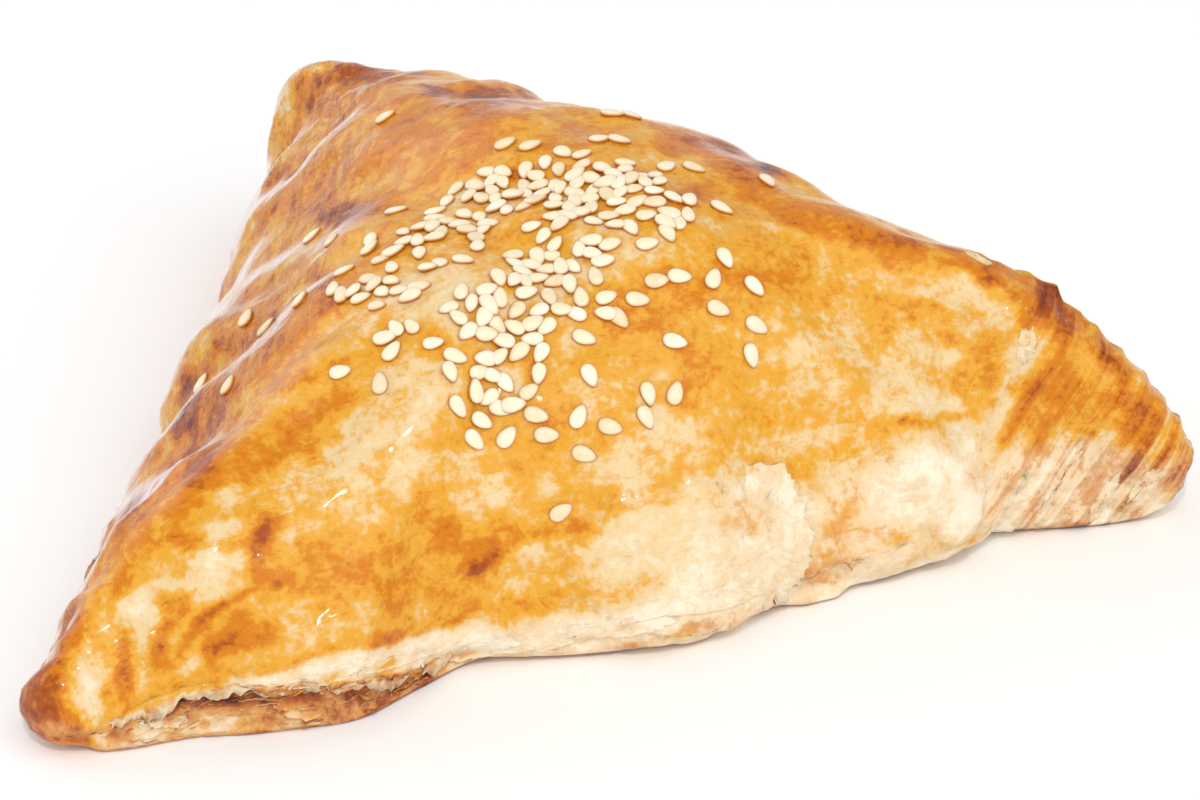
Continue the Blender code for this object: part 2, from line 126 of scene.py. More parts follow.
# The bottom crust that shows under a torn lip on the front side: from and to, along the side,
# length over which the lip closes, and share of its full recess
FEET = (
    (0.03, 0.37, 0.05, 1.0),
    (0.50, 0.57, 0.03, 0.7),
    (0.61, 0.69, 0.03, 0.7),
)
FOOT_TUCK = 0.4
LIP_DROP = 0.9
LIP_RECESS = 1.1
LIP_RAGGED = 0.7
LIP_SHARPNESS = 0.5
LIP_FADE = 2.5

# Ridges of the rolled layers, in arcs about the crown: bearing, half width, inner and full radius,
# depth, and how far they lean in as they go down
RIDGE_FANS = (
    (-27.0, 26.0, 44.0, 58.0, 0.26, 0.6),
    (-155.0, 16.0, 62.0, 78.0, 0.24, 0.0),
    (104.0, 30.0, 40.0, 62.0, 0.10, 0.0),
)
RIDGE_PITCH = 4.6
RIDGE_WANDER = 1.4
SECOND_RIDGE = 0.6

# Thin torn sheets that stand off the crust: x, y, half length, half width, turn, thickness. The
# front face is steep, so height above SHEET_LEVEL counts there beside depth.
SHEETS = (
    (5.0, -57.0, 16.0, 9.0, -8.0, 0.6),
    (-30.0, -61.0, 22.0, 5.0, 4.0, 0.5),
    (44.0, -52.0, 9.0, 6.0, 20.0, 0.4),
    (52.0, -46.0, 5.0, 4.0, 60.0, 0.5),
)
SHEET_LEVEL = 10.0
SHEET_EDGE = 0.08
SHEET_RAGGED = 0.09

# Slow unevenness of the dough: number of waves, wavelength range and depth of each
SWELLS = ((14, 22.0, 40.0, 0.22), (18, 9.0, 16.0, 0.09))

# The relief fades out over this height above the ground
RELIEF_FROM = 0.2
RELIEF_OVER = 2.0

# Where the base and the wall end, as shares of the way up, and how the upper rings crowd
BASE_SHARE = 0.07
WALL_SHARE = 0.26
RING_POWER = 1.3

# Sesame seeds in millimetres
SEED_LENGTH = 3.2
SEED_WIDTH = 2.1
SEED_THICKNESS = 1.0
SEED_TAPER = 0.42
SEED_LIFT = 0.16
SEED_SPACING = 1.5
SEED_CLEAR = 2.0
SEED_PILE = 0.2
SEED_DRAW = 15
SEED_SIZES = (0.82, 1.03)
SEED_SCATTER = 0.62
SEED_REACH = 1.6
SEED_TRIES = 24

# Where the seeds fell: x, y, half length, half width, turn in degrees, number of seeds
SEED_PATCHES = (
    (-4.5, -15.5, 5.0, 3.0, -30.0, 15),
    (3.0, -22.0, 6.5, 3.5, -30.0, 30),
    (8.5, -28.5, 5.0, 3.5, -40.0, 19),
    (-11.0, -22.5, 5.0, 3.0, -20.0, 17),
    (2.0, -28.5, 4.0, 2.5, 0.0, 7),
    (-18.5, -24.0, 5.0, 2.5, -50.0, 8),
    (-22.0, -17.0, 2.5, 2.0, 0.0, 2),
    (-25.0, -29.0, 5.0, 3.5, -60.0, 15),
    (-26.5, -38.0, 4.0, 2.5, -10.0, 4),
    (-5.0, -36.5, 5.0, 3.5, -20.0, 26),
    (-9.0, -41.0, 5.5, 2.5, -10.0, 17),
    (-14.0, -39.5, 4.0, 2.0, -10.0, 6),
    (-16.0, -45.0, 5.0, 2.5, -20.0, 12),
    (-17.0, -48.0, 3.5, 1.5, -10.0, 5),
)
LONE_SEEDS = (
    (-9.5, 17.5, -20.0), (-1.5, -9.0, 8.0), (1.0, -11.5, 0.0), (4.0, -15.5, -70.0),
    (14.5, -4.5, -20.0), (17.0, -5.0, -56.0), (9.5, -13.5, 20.0), (12.0, -14.0, -30.0),
    (16.0, -20.5, 29.0), (19.5, -21.0, -40.0), (19.5, -30.5, -40.0), (28.5, -23.5, -87.0),
    (-24.5, 1.5, 8.0), (-24.5, -8.0, 54.0), (-32.0, -19.5, 34.0), (-36.5, -9.5, 43.0),
    (-35.5, -15.5, 0.0), (-43.0, -10.5, 20.0), (-43.0, -25.0, 34.0), (-29.0, -43.5, 65.0),
    (-26.5, -40.5, 35.0), (-16.5, -10.0, -20.0), (-13.0, -15.5, 8.0), (12.5, -34.0, 65.0),
    (10.5, -35.5, -85.0), (7.5, -36.5, 5.0), (3.0, -35.5, 5.0), (14.0, -42.0, 62.0),
    (16.5, -39.5, -80.0), (19.0, -43.0, -60.0), (13.5, -45.0, -35.0), (18.0, -46.5, -55.0),
    (16.5, -48.5, -82.0), (7.0, -47.5, -32.0), (1.0, -44.0, -70.0), (4.0, -42.5, -20.0),
    (7.0, -41.0, -5.0), (10.0, -41.0, -20.0), (2.0, -51.5, -85.0), (1.0, -53.5, -72.0),
    (5.5, -51.5, 70.0), (-3.5, -53.5, -45.0), (-7.0, -52.0, 62.0), (-7.0, -54.0, -60.0),
    (-11.0, -52.0, -25.0), (-15.5, -50.5, 47.0), (-19.5, -50.0, -60.0), (-21.0, -48.5, -60.0),
    (-10.5, -55.5, 45.0), (-4.5, -49.0, -88.0),
)

# The crust's mesh
CRUST_SEGMENTS = 700
BASE_RINGS = 8
WALL_RINGS = 30
TOP_RINGS = 90

# The camera of the view from the front: millimetres and degrees
VIEW_AIM = np.array((4.2, -28.5, 16.9))
VIEW_AZIMUTH = -19.8
VIEW_ELEVATION = 29.5
VIEW_DISTANCE = 480.0
VIEW_FOCAL = 3780.0
VIEW_WIDTH = 1200.0
VIEW_HEIGHT = 800.0

# Bubbles under the glaze: number, random draw and lowest height in millimetres
BLISTER_COUNT = 260
BLISTER_DRAW = 31
BLISTER_FLOOR = 9.0

# Bearing of the corner where the rolled layers lie bare
STREAKED_CORNER = -27.0

# Blotches of the crust as they lie in that view, in pixels of a frame of 1200 by 800:
# x, y, half width, half height, turn in degrees, browning, glaze and strength
BLOTCHES = (
    # Back and crown
    (430, 105, 170, 42, 8, 0.58, 1.0, 0.9),
    (350, 74, 55, 10, 0, 0.82, 1.0, 0.8),
    (472, 106, 38, 15, 10, 0.74, 1.0, 0.8),
    (320, 108, 26, 13, 20, 0.74, 1.0, 0.7),
    (405, 146, 34, 10, -5, 0.68, 1.0, 0.6),
    (362, 208, 42, 13, -8, 0.76, 1.0, 0.8),
    (300, 250, 45, 50, 0, 0.52, 1.0, 0.8),
    (560, 130, 70, 22, 5, 0.60, 1.0, 0.8),
    (480, 240, 150, 90, 0, 0.34, 1.0, 0.8),
    (430, 300, 60, 32, 0, 0.22, 0.9, 0.7),
    (560, 190, 90, 30, 0, 0.42, 1.0, 0.6),
    (690, 140, 70, 14, 22, 0.70, 1.0, 0.8),
    (735, 168, 30, 12, 25, 0.78, 1.0, 0.8),
    (790, 205, 70, 16, 24, 0.68, 1.0, 0.9),
    (765, 262, 55, 22, 20, 0.60, 1.0, 0.8),
    (700, 200, 40, 20, 10, 0.56, 1.0, 0.7),
    (860, 236, 60, 14, 25, 0.62, 1.0, 0.8),
    (900, 242, 26, 8, 22, 0.74, 1.0, 0.7),
    (965, 262, 45, 11, 26, 0.66, 1.0, 0.8),
    (350, 208, 28, 10, 0, 0.78, 1.0, 0.8),
    (520, 300, 30, 10, 0, 0.20, 1.0, 0.7),
    (335, 214, 28, 12, 0, 0.86, 1.0, 0.85),
    # Left side
    (250, 300, 38, 24, -40, 0.58, 1.0, 0.8),
    (285, 355, 60, 34, -10, 0.54, 1.0, 0.9),
    (316, 425, 26, 40, 10, 0.62, 1.0, 0.8),
    (240, 425, 50, 30, -20, 0.50, 1.0, 0.8),
    (186, 400, 12, 34, 10, 0.92, 0.9, 0.9),
    (200, 465, 32, 46, 25, 0.72, 1.0, 0.9),
    (182, 515, 24, 30, 20, 0.66, 1.0, 0.8),
    (136, 540, 30, 32, 25, 0.56, 1.0, 0.8),
    (206, 546, 36, 44, 25, 0.12, 0.8, 0.9),
    (170, 592, 42, 15, -10, 0.14, 0.8, 0.8),
    (261, 540, 13, 40, 6, 0.84, 1.0, 0.95),
    (276, 580, 24, 10, 20, 0.78, 1.0, 0.8),
    (270, 338, 22, 30, 10, 0.64, 1.0, 0.8),
    (330, 364, 26, 12, 0, 0.64, 1.0, 0.85),
    (198, 440, 14, 26, 30, 0.74, 1.0, 0.8),
    (128, 522, 14, 24, 20, 0.68, 1.0, 0.7),
    (106, 602, 7, 24, 20, 0.66, 1.0, 0.8),
    (186, 536, 22, 12, 0, 0.74, 1.0, 0.85),
    (292, 540, 8, 18, 0, 0.28, 1.0, 0.7),
    (158, 522, 8, 16, 0, 0.22, 1.0, 0.7),
    # Pale and orange patches of the front left
    (380, 450, 62, 48, -10, 0.18, 0.8, 0.9),
    (330, 482, 60, 26, -10, 0.18, 0.8, 0.8),
    (420, 395, 60, 40, 0, 0.28, 0.9, 0.7),
    (440, 440, 30, 20, 20, 0.42, 1.0, 0.7),
    (345, 568, 60, 38, 0, 0.52, 1.0, 0.9),
    (430, 550, 70, 48, -10, 0.55, 1.0, 0.9),
    (410, 585, 36, 20, -10, 0.66, 1.0, 0.8),
    (482, 563, 34, 9, -22, 0.84, 1.0, 0.9),
    (394, 610, 16, 8, 0, 0.78, 1.0, 0.8),
    (520, 600, 60, 14, -6, 0.50, 1.0, 0.8),
    (160, 630, 26, 46, 10, 0.50, 1.0, 0.8),
    (118, 660, 9, 46, -14, 0.74, 1.0, 0.9),
    (150, 660, 8, 40, -8, 0.66, 1.0, 0.7),
    (232, 640, 40, 20, 0, 0.60, 1.0, 0.8),
    (214, 655, 16, 10, 0, 0.76, 1.0, 0.8),
    (252, 634, 20, 12, 0, 0.66, 1.0, 0.7),
    (200, 690, 60, 22, -4, 0.42, 1.0, 0.7),
    (84, 690, 15, 36, -10, 0.14, 0.5, 0.9),
    (92, 640, 12, 34, 15, 0.36, 0.8, 0.6),
    (30, 697, 32, 40, 20, 0.94, 0.45, 0.97),
    (60, 722, 32, 16, 20, 0.88, 0.45, 0.95),
    (66, 640, 9, 44, 22, 0.78, 0.9, 0.85),
    (322, 455, 11, 16, 0, 0.60, 1.0, 0.8),
    (376, 460, 17, 17, 0, 0.38, 1.0, 0.8),
    (312, 522, 18, 16, 0, 0.24, 1.0, 0.8),
    (362, 514, 24, 10, 0, 0.28, 1.0, 0.8),
    (150, 650, 7, 34, 6, 0.70, 1.0, 0.85),
    # Front middle
    (500, 470, 60, 50, 0, 0.34, 1.0, 0.7),
    (560, 480, 60, 46, 10, 0.46, 1.0, 0.7),
    (565, 526, 22, 9, -10, 0.66, 1.0, 0.7),
    (505, 535, 34, 22, 0, 0.60, 1.0, 0.6),
    (610, 440, 50, 44, 0, 0.42, 1.0, 0.7),
    (600, 555, 40, 28, 0, 0.18, 0.7, 0.8),
    (622, 590, 34, 9, -20, 0.48, 1.0, 0.7),
    (680, 300, 66, 40, 0, 0.52, 1.0, 0.8),
    (640, 330, 60, 30, 10, 0.46, 1.0, 0.6),
    (702, 372, 26, 56, -16, 0.52, 1.0, 0.8),
    (740, 420, 22, 50, -10, 0.46, 1.0, 0.7),
    (690, 470, 44, 28, 0, 0.40, 1.0, 0.7),
    (720, 545, 86, 58, 0, 0.14, 0.45, 0.9),
    (762, 530, 60, 76, 0, 0.08, 0.1, 0.97),
    (735, 585, 60, 26, -10, 0.06, 0.0, 0.9),
    (650, 545, 40, 30, 0, 0.20, 0.7, 0.7),
    (500, 474, 15, 24, 10, 0.20, 1.0, 0.85),
    (462, 500, 18, 17, 0, 0.26, 1.0, 0.8),
    (462, 562, 14, 9, 0, 0.34, 1.0, 0.7),
    (540, 552, 26, 18, 0, 0.18, 0.9, 0.85),
    (590, 562, 20, 14, 0, 0.16, 0.9, 0.8),
    # Right side of the front
    (860, 330, 120, 60, 10, 0.36, 1.0, 0.8),
    (912, 308, 44, 18, 10, 0.50, 1.0, 0.8),
    (862, 322, 26, 18, 0, 0.46, 1.0, 0.6),
    (935, 352, 44, 24, 10, 0.20, 0.8, 0.8),
    (962, 290, 36, 14, 20, 0.20, 0.8, 0.8),
    (985, 375, 18, 52, 8, 0.50, 1.0, 0.9),
    (820, 420, 30, 60, 0, 0.42, 1.0, 0.7),
    (905, 424, 40, 11, 4, 0.58, 1.0, 0.9),
    (907, 424, 9, 6, 0, 0.90, 1.0, 0.9),
    (953, 423, 12, 8, 0, 0.70, 1.0, 0.8),
    (905, 480, 96, 36, -14, 0.07, 0.0, 0.95),
    (965, 505, 66, 30, -14, 0.09, 0.0, 0.95),
    (1008, 476, 16, 46, 28, 0.12, 0.1, 0.8),
    (838, 525, 20, 52, 6, 0.44, 0.45, 0.85),
    (885, 530, 22, 14, -20, 0.34, 0.2, 0.7),
    (855, 338, 15, 40, -30, 0.16, 1.0, 0.85),
    (903, 402, 44, 13, 0, 0.12, 0.9, 0.9),
    (822, 432, 30, 13, 0, 0.20, 0.9, 0.8),
    (1004, 425, 8, 44, 14, 0.12, 0.9, 0.85),
    (930, 336, 24, 17, 0, 0.46, 1.0, 0.85),
    (886, 504, 18, 14, 0, 0.18, 0.2, 0.7),
    # Right corner
    (1045, 312, 36, 22, 24, 0.76, 1.0, 0.95),
    (1056, 290, 16, 12, 20, 0.88, 1.0, 0.9),
    (1104, 352, 34, 12, 48, 0.76, 0.9, 0.9),
    (1060, 380, 34, 34, 10, 0.60, 1.0, 0.85),
    (1142, 418, 24, 28, 10, 0.70, 0.9, 0.85),
    (1100, 400, 22, 30, 10, 0.56, 0.9, 0.7),
    (1026, 430, 22, 40, 8, 0.44, 0.9, 0.7),
    (1022, 352, 13, 26, 10, 0.14, 0.7, 0.8),
    (1075, 480, 80, 50, -10, 0.34, 0.0, 0.95),
    (1062, 478, 48, 6, -60, 0.22, 0.0, 0.85),
    (1104, 498, 32, 8, -56, 0.06, 0.0, 0.9),
    (1146, 482, 24, 9, -50, 0.08, 0.0, 0.9),
    (1016, 494, 40, 7, -62, 0.04, 0.0, 0.8),
    (1086, 490, 44, 5, -58, 0.40, 0.0, 0.8),
    (1128, 494, 34, 5, -54, 0.44, 0.0, 0.8),
    (1040, 496, 34, 4, -60, 0.50, 0.0, 0.8),
    (1180, 472, 22, 32, 10, 0.84, 0.2, 0.95),
    (1128, 428, 14, 22, 10, 0.72, 0.9, 0.8),
    # Pale flap along the bottom of the front
    (292, 686, 56, 8, -8, 0.08, 0.0, 0.95),
    (360, 662, 66, 12, -14, 0.10, 0.0, 0.95),
    (440, 646, 66, 15, -12, 0.12, 0.0, 0.95),
    (530, 636, 70, 18, -7, 0.10, 0.0, 0.95),
    (610, 628, 66, 20, -6, 0.10, 0.0, 0.95),
    (700, 606, 80, 24, -14, 0.08, 0.0, 0.95),
    (300, 662, 50, 6, -22, 0.66, 0.6, 0.95),
    (388, 639, 46, 6, -12, 0.64, 0.6, 0.95),
    (455, 622, 30, 5, -24, 0.62, 0.8, 0.9),
    (226, 606, 38, 6, -28, 0.70, 1.0, 0.9),
    (188, 634, 26, 7, -50, 0.72, 1.0, 0.9),
    (258, 612, 30, 12, -20, 0.60, 1.0, 0.8),
    (704, 630, 40, 6, -14, 0.58, 0.2, 0.9),
    (825, 590, 44, 12, -12, 0.20, 0.2, 0.9),
    (872, 562, 64, 14, -14, 0.14, 0.1, 0.92),
    (850, 545, 30, 16, -30, 0.20, 0.2, 0.8),
    # Finer dark patches of the back and crown
    (398, 68, 26, 8, 6, 0.95, 1.0, 0.85),
    (436, 92, 28, 8, 20, 0.92, 1.0, 0.8),
    (510, 96, 46, 10, 6, 0.95, 1.0, 0.85),
    (415, 142, 34, 13, 0, 0.74, 1.0, 0.8),
    (605, 174, 46, 9, 4, 0.82, 1.0, 0.8),
    (512, 176, 32, 8, 0, 0.84, 1.0, 0.8),
    (680, 150, 36, 10, 12, 0.78, 1.0, 0.85),
    (756, 158, 40, 10, 18, 0.95, 1.0, 0.85),
    (684, 200, 36, 9, 0, 0.68, 1.0, 0.8),
    (832, 206, 34, 8, 18, 0.80, 1.0, 0.85),
    (808, 250, 15, 15, 0, 0.64, 1.0, 0.75),
    (940, 242, 28, 8, 20, 0.80, 1.0, 0.8),
    (984, 280, 17, 17, 0, 0.76, 1.0, 0.85),
    (592, 248, 10, 16, 0, 0.72, 1.0, 0.7),
    (762, 275, 13, 16, 0, 0.60, 1.0, 0.7),
    (786, 356, 10, 40, 0, 0.56, 1.0, 0.75),
    (950, 346, 14, 14, 0, 0.64, 1.0, 0.8),
    # Finer dark patches of the left side
    (316, 276, 20, 12, 0, 0.84, 1.0, 0.8),
    (268, 336, 16, 28, 30, 0.84, 1.0, 0.85),
    (284, 382, 30, 12, 0, 0.66, 1.0, 0.8),
    (232, 416, 16, 22, 40, 0.74, 1.0, 0.8),
    (184, 466, 28, 11, -30, 0.84, 1.0, 0.85),
    (132, 498, 14, 13, 0, 0.86, 1.0, 0.85),
    # Finer dark patches of the front
    (238, 542, 24, 13, 0, 0.64, 1.0, 0.8),
    (270, 577, 24, 10, 0, 0.70, 1.0, 0.8),
    (745, 522, 28, 20, 0, 0.42, 0.4, 0.8),
    (640, 630, 20, 8, 0, 0.50, 0.3, 0.8),
    (622, 586, 13, 12, 0, 0.42, 0.6, 0.7),
    (808, 580, 20, 12, 0, 0.44, 0.3, 0.8),
    (590, 462, 13, 13, 0, 0.56, 1.0, 0.7),
    (826, 486, 26, 11, 0, 0.38, 0.4, 0.7),
    (742, 476, 18, 10, 0, 0.44, 0.7, 0.7),
    (1070, 470, 34, 5, -62, 0.84, 0.0, 0.85),
    (1176, 478, 20, 11, 0, 0.88, 0.2, 0.8),
    (1120, 478, 28, 5, -58, 0.66, 0.0, 0.8),
    (1024, 320, 9, 20, 0, 0.66, 0.9, 0.8),
    (112, 650, 5, 30, 6, 0.68, 1.0, 0.8),
    (172, 606, 12, 16, 10, 0.64, 1.0, 0.8),
    (30, 690, 18, 20, 30, 0.76, 0.5, 0.8),
    (60, 724, 34, 9, 10, 0.58, 0.3, 0.7),
    (154, 616, 10, 20, 0, 0.74, 1.0, 0.8),
    # Finer pale patches
    (638, 458, 28, 17, 0, 0.14, 1.0, 0.8),
    (546, 480, 14, 20, 0, 0.20, 1.0, 0.8),
    (450, 574, 22, 20, 0, 0.28, 1.0, 0.6),
    (540, 292, 22, 12, 0, 0.22, 1.0, 0.75),
    (366, 324, 11, 17, 0, 0.20, 1.0, 0.75),
    (90, 684, 13, 28, 4, 0.10, 0.8, 0.9),
    (128, 614, 18, 13, 0, 0.14, 1.0, 0.8),
    (516, 374, 14, 12, 0, 0.14, 1.0, 0.8),
    (484, 350, 13, 11, 0, 0.22, 1.0, 0.8),
    (886, 378, 20, 24, 0, 0.12, 1.0, 0.85),
    (926, 412, 44, 10, 0, 0.10, 0.8, 0.9),
    (940, 300, 32, 9, 20, 0.22, 1.0, 0.8),
    (842, 350, 32, 14, 0, 0.20, 1.0, 0.8),
    (672, 434, 32, 28, 0, 0.20, 1.0, 0.85),
    (788, 440, 26, 20, 0, 0.18, 0.9, 0.8),
    (668, 250, 26, 14, 0, 0.26, 1.0, 0.75),
    (332, 326, 17, 14, 0, 0.18, 1.0, 0.8),
    (414, 328, 15, 20, 0, 0.22, 1.0, 0.75),
    (460, 236, 17, 11, 0, 0.26, 1.0, 0.75),
    (1012, 392, 10, 34, 5, 0.16, 0.7, 0.8),
    (990, 446, 8, 34, 12, 0.08, 0.5, 0.85),
    (1078, 512, 11, 14, 0, 0.12, 0.0, 0.8),
    (1124, 514, 14, 10, 0, 0.12, 0.0, 0.8),
    (920, 562, 56, 10, -14, 0.10, 0.0, 0.85),
    (740, 620, 38, 10, -25, 0.20, 0.1, 0.8),
    (240, 495, 28, 13, 0, 0.12, 0.9, 0.8),
    (264, 612, 30, 11, 0, 0.22, 1.0, 0.8),
    (240, 694, 46, 7, -14, 0.10, 0.2, 0.9),
    (180, 710, 30, 6, -8, 0.10, 0.2, 0.9),
    (312, 666, 50, 9, -14, 0.16, 0.3, 0.8),
    (428, 668, 26, 11, -20, 0.10, 0.1, 0.9),
    # Painted sheen along the left edge: pale patches that stand in for the glaze's reflection there
    (326, 68, 32, 9, -10, 0.24, 0.9, 0.6),
    (284, 112, 9, 48, 12, 0.24, 0.9, 0.7),
    (246, 226, 11, 28, 24, 0.22, 0.9, 0.6),
    (198, 346, 12, 28, 24, 0.22, 0.9, 0.6),
    (164, 430, 10, 24, 24, 0.26, 0.9, 0.6),
)

# Sides that the front view doesn't show: x, y, z, radius in millimetres, browning, glaze
FAR_BLOTCHES = (
    (30.0, 20.0, 26.0, 12.0, 0.62, 1.0),
    (45.0, -2.0, 22.0, 10.0, 0.40, 1.0),
    (18.0, 44.0, 24.0, 11.0, 0.50, 1.0),
    (55.0, -25.0, 14.0, 9.0, 0.16, 0.3),
    (35.0, 22.0, 10.0, 11.0, 0.12, 0.1),
    (20.0, 50.0, 8.0, 10.0, 0.14, 0.2),
    (62.0, -30.0, 22.0, 7.0, 0.74, 1.0),
    (10.0, 60.0, 30.0, 8.0, 0.76, 1.0),
    (-30.0, 30.0, 18.0, 12.0, 0.46, 1.0),
    (-20.0, 45.0, 14.0, 9.0, 0.66, 0.9),
    (-45.0, 5.0, 12.0, 10.0, 0.22, 0.5),
    (-28.0, 38.0, 6.0, 10.0, 0.14, 0.1),
)

# The torn lip over the bottom crust and the layers under it, in millimetres
LIP_STEPS = 800
LIP_THICKNESS = 0.15
LEDGES = 7
LEDGE_DEPTH = 1.0
LEDGE_THICKNESS = 0.16
LAYERED_PLACE = 0.30
LAYERED_WIDTH = 0.075

# Torn sheets laid on the crust, as they lie in the front view: x, y, half width, half height, turn
# in degrees, the side that is open and how widely, lift of the edge in millimetres and raggedness
LAID_SHEETS = (
    (742, 536, 76, 72, -6, 0, 80, 0.60, 0.13),
    (700, 590, 96, 22, -13, 90, 60, 0.30, 0.16),
    (620, 618, 70, 17, -9, 90, 65, 0.30, 0.20),
    (545, 634, 62, 14, -9, 90, 65, 0.30, 0.20),
    (470, 646, 56, 13, -13, 90, 65, 0.28, 0.20),
    (395, 656, 56, 11, -15, 90, 65, 0.26, 0.20),
    (320, 674, 50, 9, -15, 90, 65, 0.24, 0.20),
    (1062, 478, 40, 6, -60, 0, 180, 0.10, 0.24),
    (1104, 498, 26, 7, -56, 0, 180, 0.12, 0.26),
    (1146, 484, 22, 8, -50, 0, 180, 0.12, 0.26),
    (1016, 496, 30, 5, -62, 0, 180, 0.08, 0.24),
    (1027, 346, 8, 18, 4, 0, 180, 0.08, 0.28),
    (978, 258, 14, 2.5, 28, 0, 180, 0.12, 0.24),
    (160, 716, 30, 9, -6, 90, 80, 0.28, 0.30),
)
SHEET_SEGMENTS = 140
SHEET_RINGS = (0.0, 0.2, 0.4, 0.6, 0.75, 0.86, 0.93, 0.97, 1.0, 1.0, 0.95)


def ease(share):
    """A share from 0 to 1 with a soft start and a soft end."""
    share = np.clip(share, 0.0, 1.0)
    return share * share * (3.0 - 2.0 * share)


def bell(value, centre, width):
    return np.exp(-(((value - centre) / width) ** 2))


def side_frames():
    """Start, direction, inward normal and length of each side."""
    frames = []
    for corner in range(3):
        start = CORNERS[corner]
        run = CORNERS[(corner + 1) % 3] - start
        length = float(np.hypot(run[0], run[1]))
        along = run / length
        frames.append((start, along, np.array((-along[1], along[0])), length))
    return frames


def bearing(points):
    """Angle of plan points about the crown."""
    return np.arctan2(points[:, 1] - CROWN[1], points[:, 0] - CROWN[0])


def from_crown(points):
    """How far out from the crown's axis points lie."""
    return np.hypot(points[:, 0] - CROWN[0], points[:, 1] - CROWN[1])


def place_along(points, side):
    """How far along a side plan points lie, from 0 to 1."""
    start, along, _, length = side_frames()[side]
    return (points - start) @ along / length


def depth_inside(points):
    """How far plan points lie inside the three sides, with the corners rounded off."""
    depths = []
    for side, (start, along, inward, length) in enumerate(side_frames()):
        place = (points - start) @ along / length
        held = np.clip(place, 0.0, 1.0)
        depth = (points - start) @ inward + SIDE_BOW[side] * 4.0 * held * (1.0 - held)
        for waved, centre, width, reach in OUTLINE_WAVES:
            if waved == side:
                depth = depth + reach * bell(place, centre, width)
        depths.append(depth)
    inside = np.full(len(points), 1000.0)
    for corner, blend in enumerate(CORNER_BLEND):
        before = depths[corner - 1]
        after = depths[corner]
        overlap = np.maximum(blend - np.abs(before - after), 0.0)
        rounded = np.minimum(before, after) - overlap**2 / (4.0 * blend)
        inside = np.minimum(inside, rounded)
    return inside


def outline_radius(angles):
    """Distance from the crown to the outline at each angle, found by halving."""
    rays = np.column_stack((np.cos(angles), np.sin(angles)))
    near = np.zeros(len(angles))
    far = np.full(len(angles), 150.0)
    for _ in range(32):
        middle = (near + far) / 2.0
        within = depth_inside(CROWN + rays * middle[:, None]) > 0.0
        near = np.where(within, middle, near)
        far = np.where(within, far, middle)
    for end, width, reach in CORNER_ENDS:
        turn = np.degrees(angles) - end
        turn = (turn + 180.0) % 360.0 - 180.0
        near = near + reach * bell(turn, 0.0, width)
    return near


def outline_angles(turns):
    """Angles about the crown for shares of the outline's length."""
    dense = np.linspace(0.0, 2.0 * math.pi, 2401)
    rays = np.column_stack((np.cos(dense), np.sin(dense)))
    points = rays * outline_radius(dense)[:, None]
    steps = np.hypot(*np.diff(points, axis=0).T)
    run = np.concatenate(([0.0], np.cumsum(steps)))
    return np.interp(turns * run[-1], run, dense)


def around(angles, values):
    """Blend six values, set towards the corners and the middles of the sides."""
    middles = (CORNERS + np.roll(CORNERS, -1, axis=0)) / 2.0
    posts = np.empty((6, 2))
    posts[0::2] = CORNERS
    posts[1::2] = middles
    marks = np.unwrap(bearing(posts))
    marks = np.concatenate((marks, [marks[0] + 2.0 * math.pi]))
    turned = (angles - marks[0]) % (2.0 * math.pi) + marks[0]
    index = np.clip(np.searchsorted(marks, turned, side="right") - 1, 0, 5)
    share = ease((turned - marks[index]) / (marks[index + 1] - marks[index]))
    table = np.array(values + values[:1])
    return table[index] * (1.0 - share) + table[index + 1] * share


def swell_waves(count, shortest, longest):
    """Seeded plane waves that make the dough uneven."""
    draw = random.Random(count)
    waves = []
    for _ in range(count):
        heading = draw.uniform(0.0, math.pi)
        length = draw.uniform(shortest, longest)
        tilt = draw.uniform(-0.7, 0.7)
        vector = np.array((math.cos(heading), math.sin(heading), tilt)) * 2.0 * math.pi / length
        waves.append((vector, draw.uniform(0.0, 2.0 * math.pi)))
    return waves


def swell(points):
    """Slow unevenness at points in space."""
    height = np.zeros(len(points))
    for count, shortest, longest, depth in SWELLS:
        for vector, phase in swell_waves(count, shortest, longest):
            height += depth * np.sin(points @ vector + phase)
    return height


def ragged(values, reach):
    """A torn line: a sum of unlike sines along a length in millimetres."""
    line = np.sin(values * 0.9 + 0.4) + 0.7 * np.sin(values * 2.3 + 1.1) + 0.5 * np.sin(values * 4.1)
    return reach * line / 2.2


def front_share(points):
    """1 along the front side, 0 towards the other sides."""
    start, _, inward, _ = side_frames()[0]
    return ease((FRONT_REACH - (points - start) @ inward) / FRONT_BLEND)


def foot_share(points):
    """1 where the bottom crust shows under the torn lip, 0 elsewhere."""
    place = place_along(points, 0)
    foot = np.zeros(len(points))
    for start, end, closing, share in FEET:
        rise = ease((place - start) / closing)
        fall = ease((end - place) / closing)
        foot = np.maximum(foot, rise * fall * share)
    return foot * front_share(points)


def rim_height(angles, points):
    """Height of the widest line over plan points of the outline."""
    waves = np.zeros(len(points))
    for centre, width, rise in RIM_WAVES:
        waves += rise * bell(place_along(points, 0), centre, width)
    return around(angles, RIM_HEIGHT) + waves * front_share(points)


def tip_share(plan):
    """Share of the height that is left where the pointed corner thins out."""
    x, y, spread, loss = POINTED_TIP
    away = (plan[:, 0] - x) ** 2 + (plan[:, 1] - y) ** 2
    return 1.0 - loss * np.exp(-away / (spread * spread))


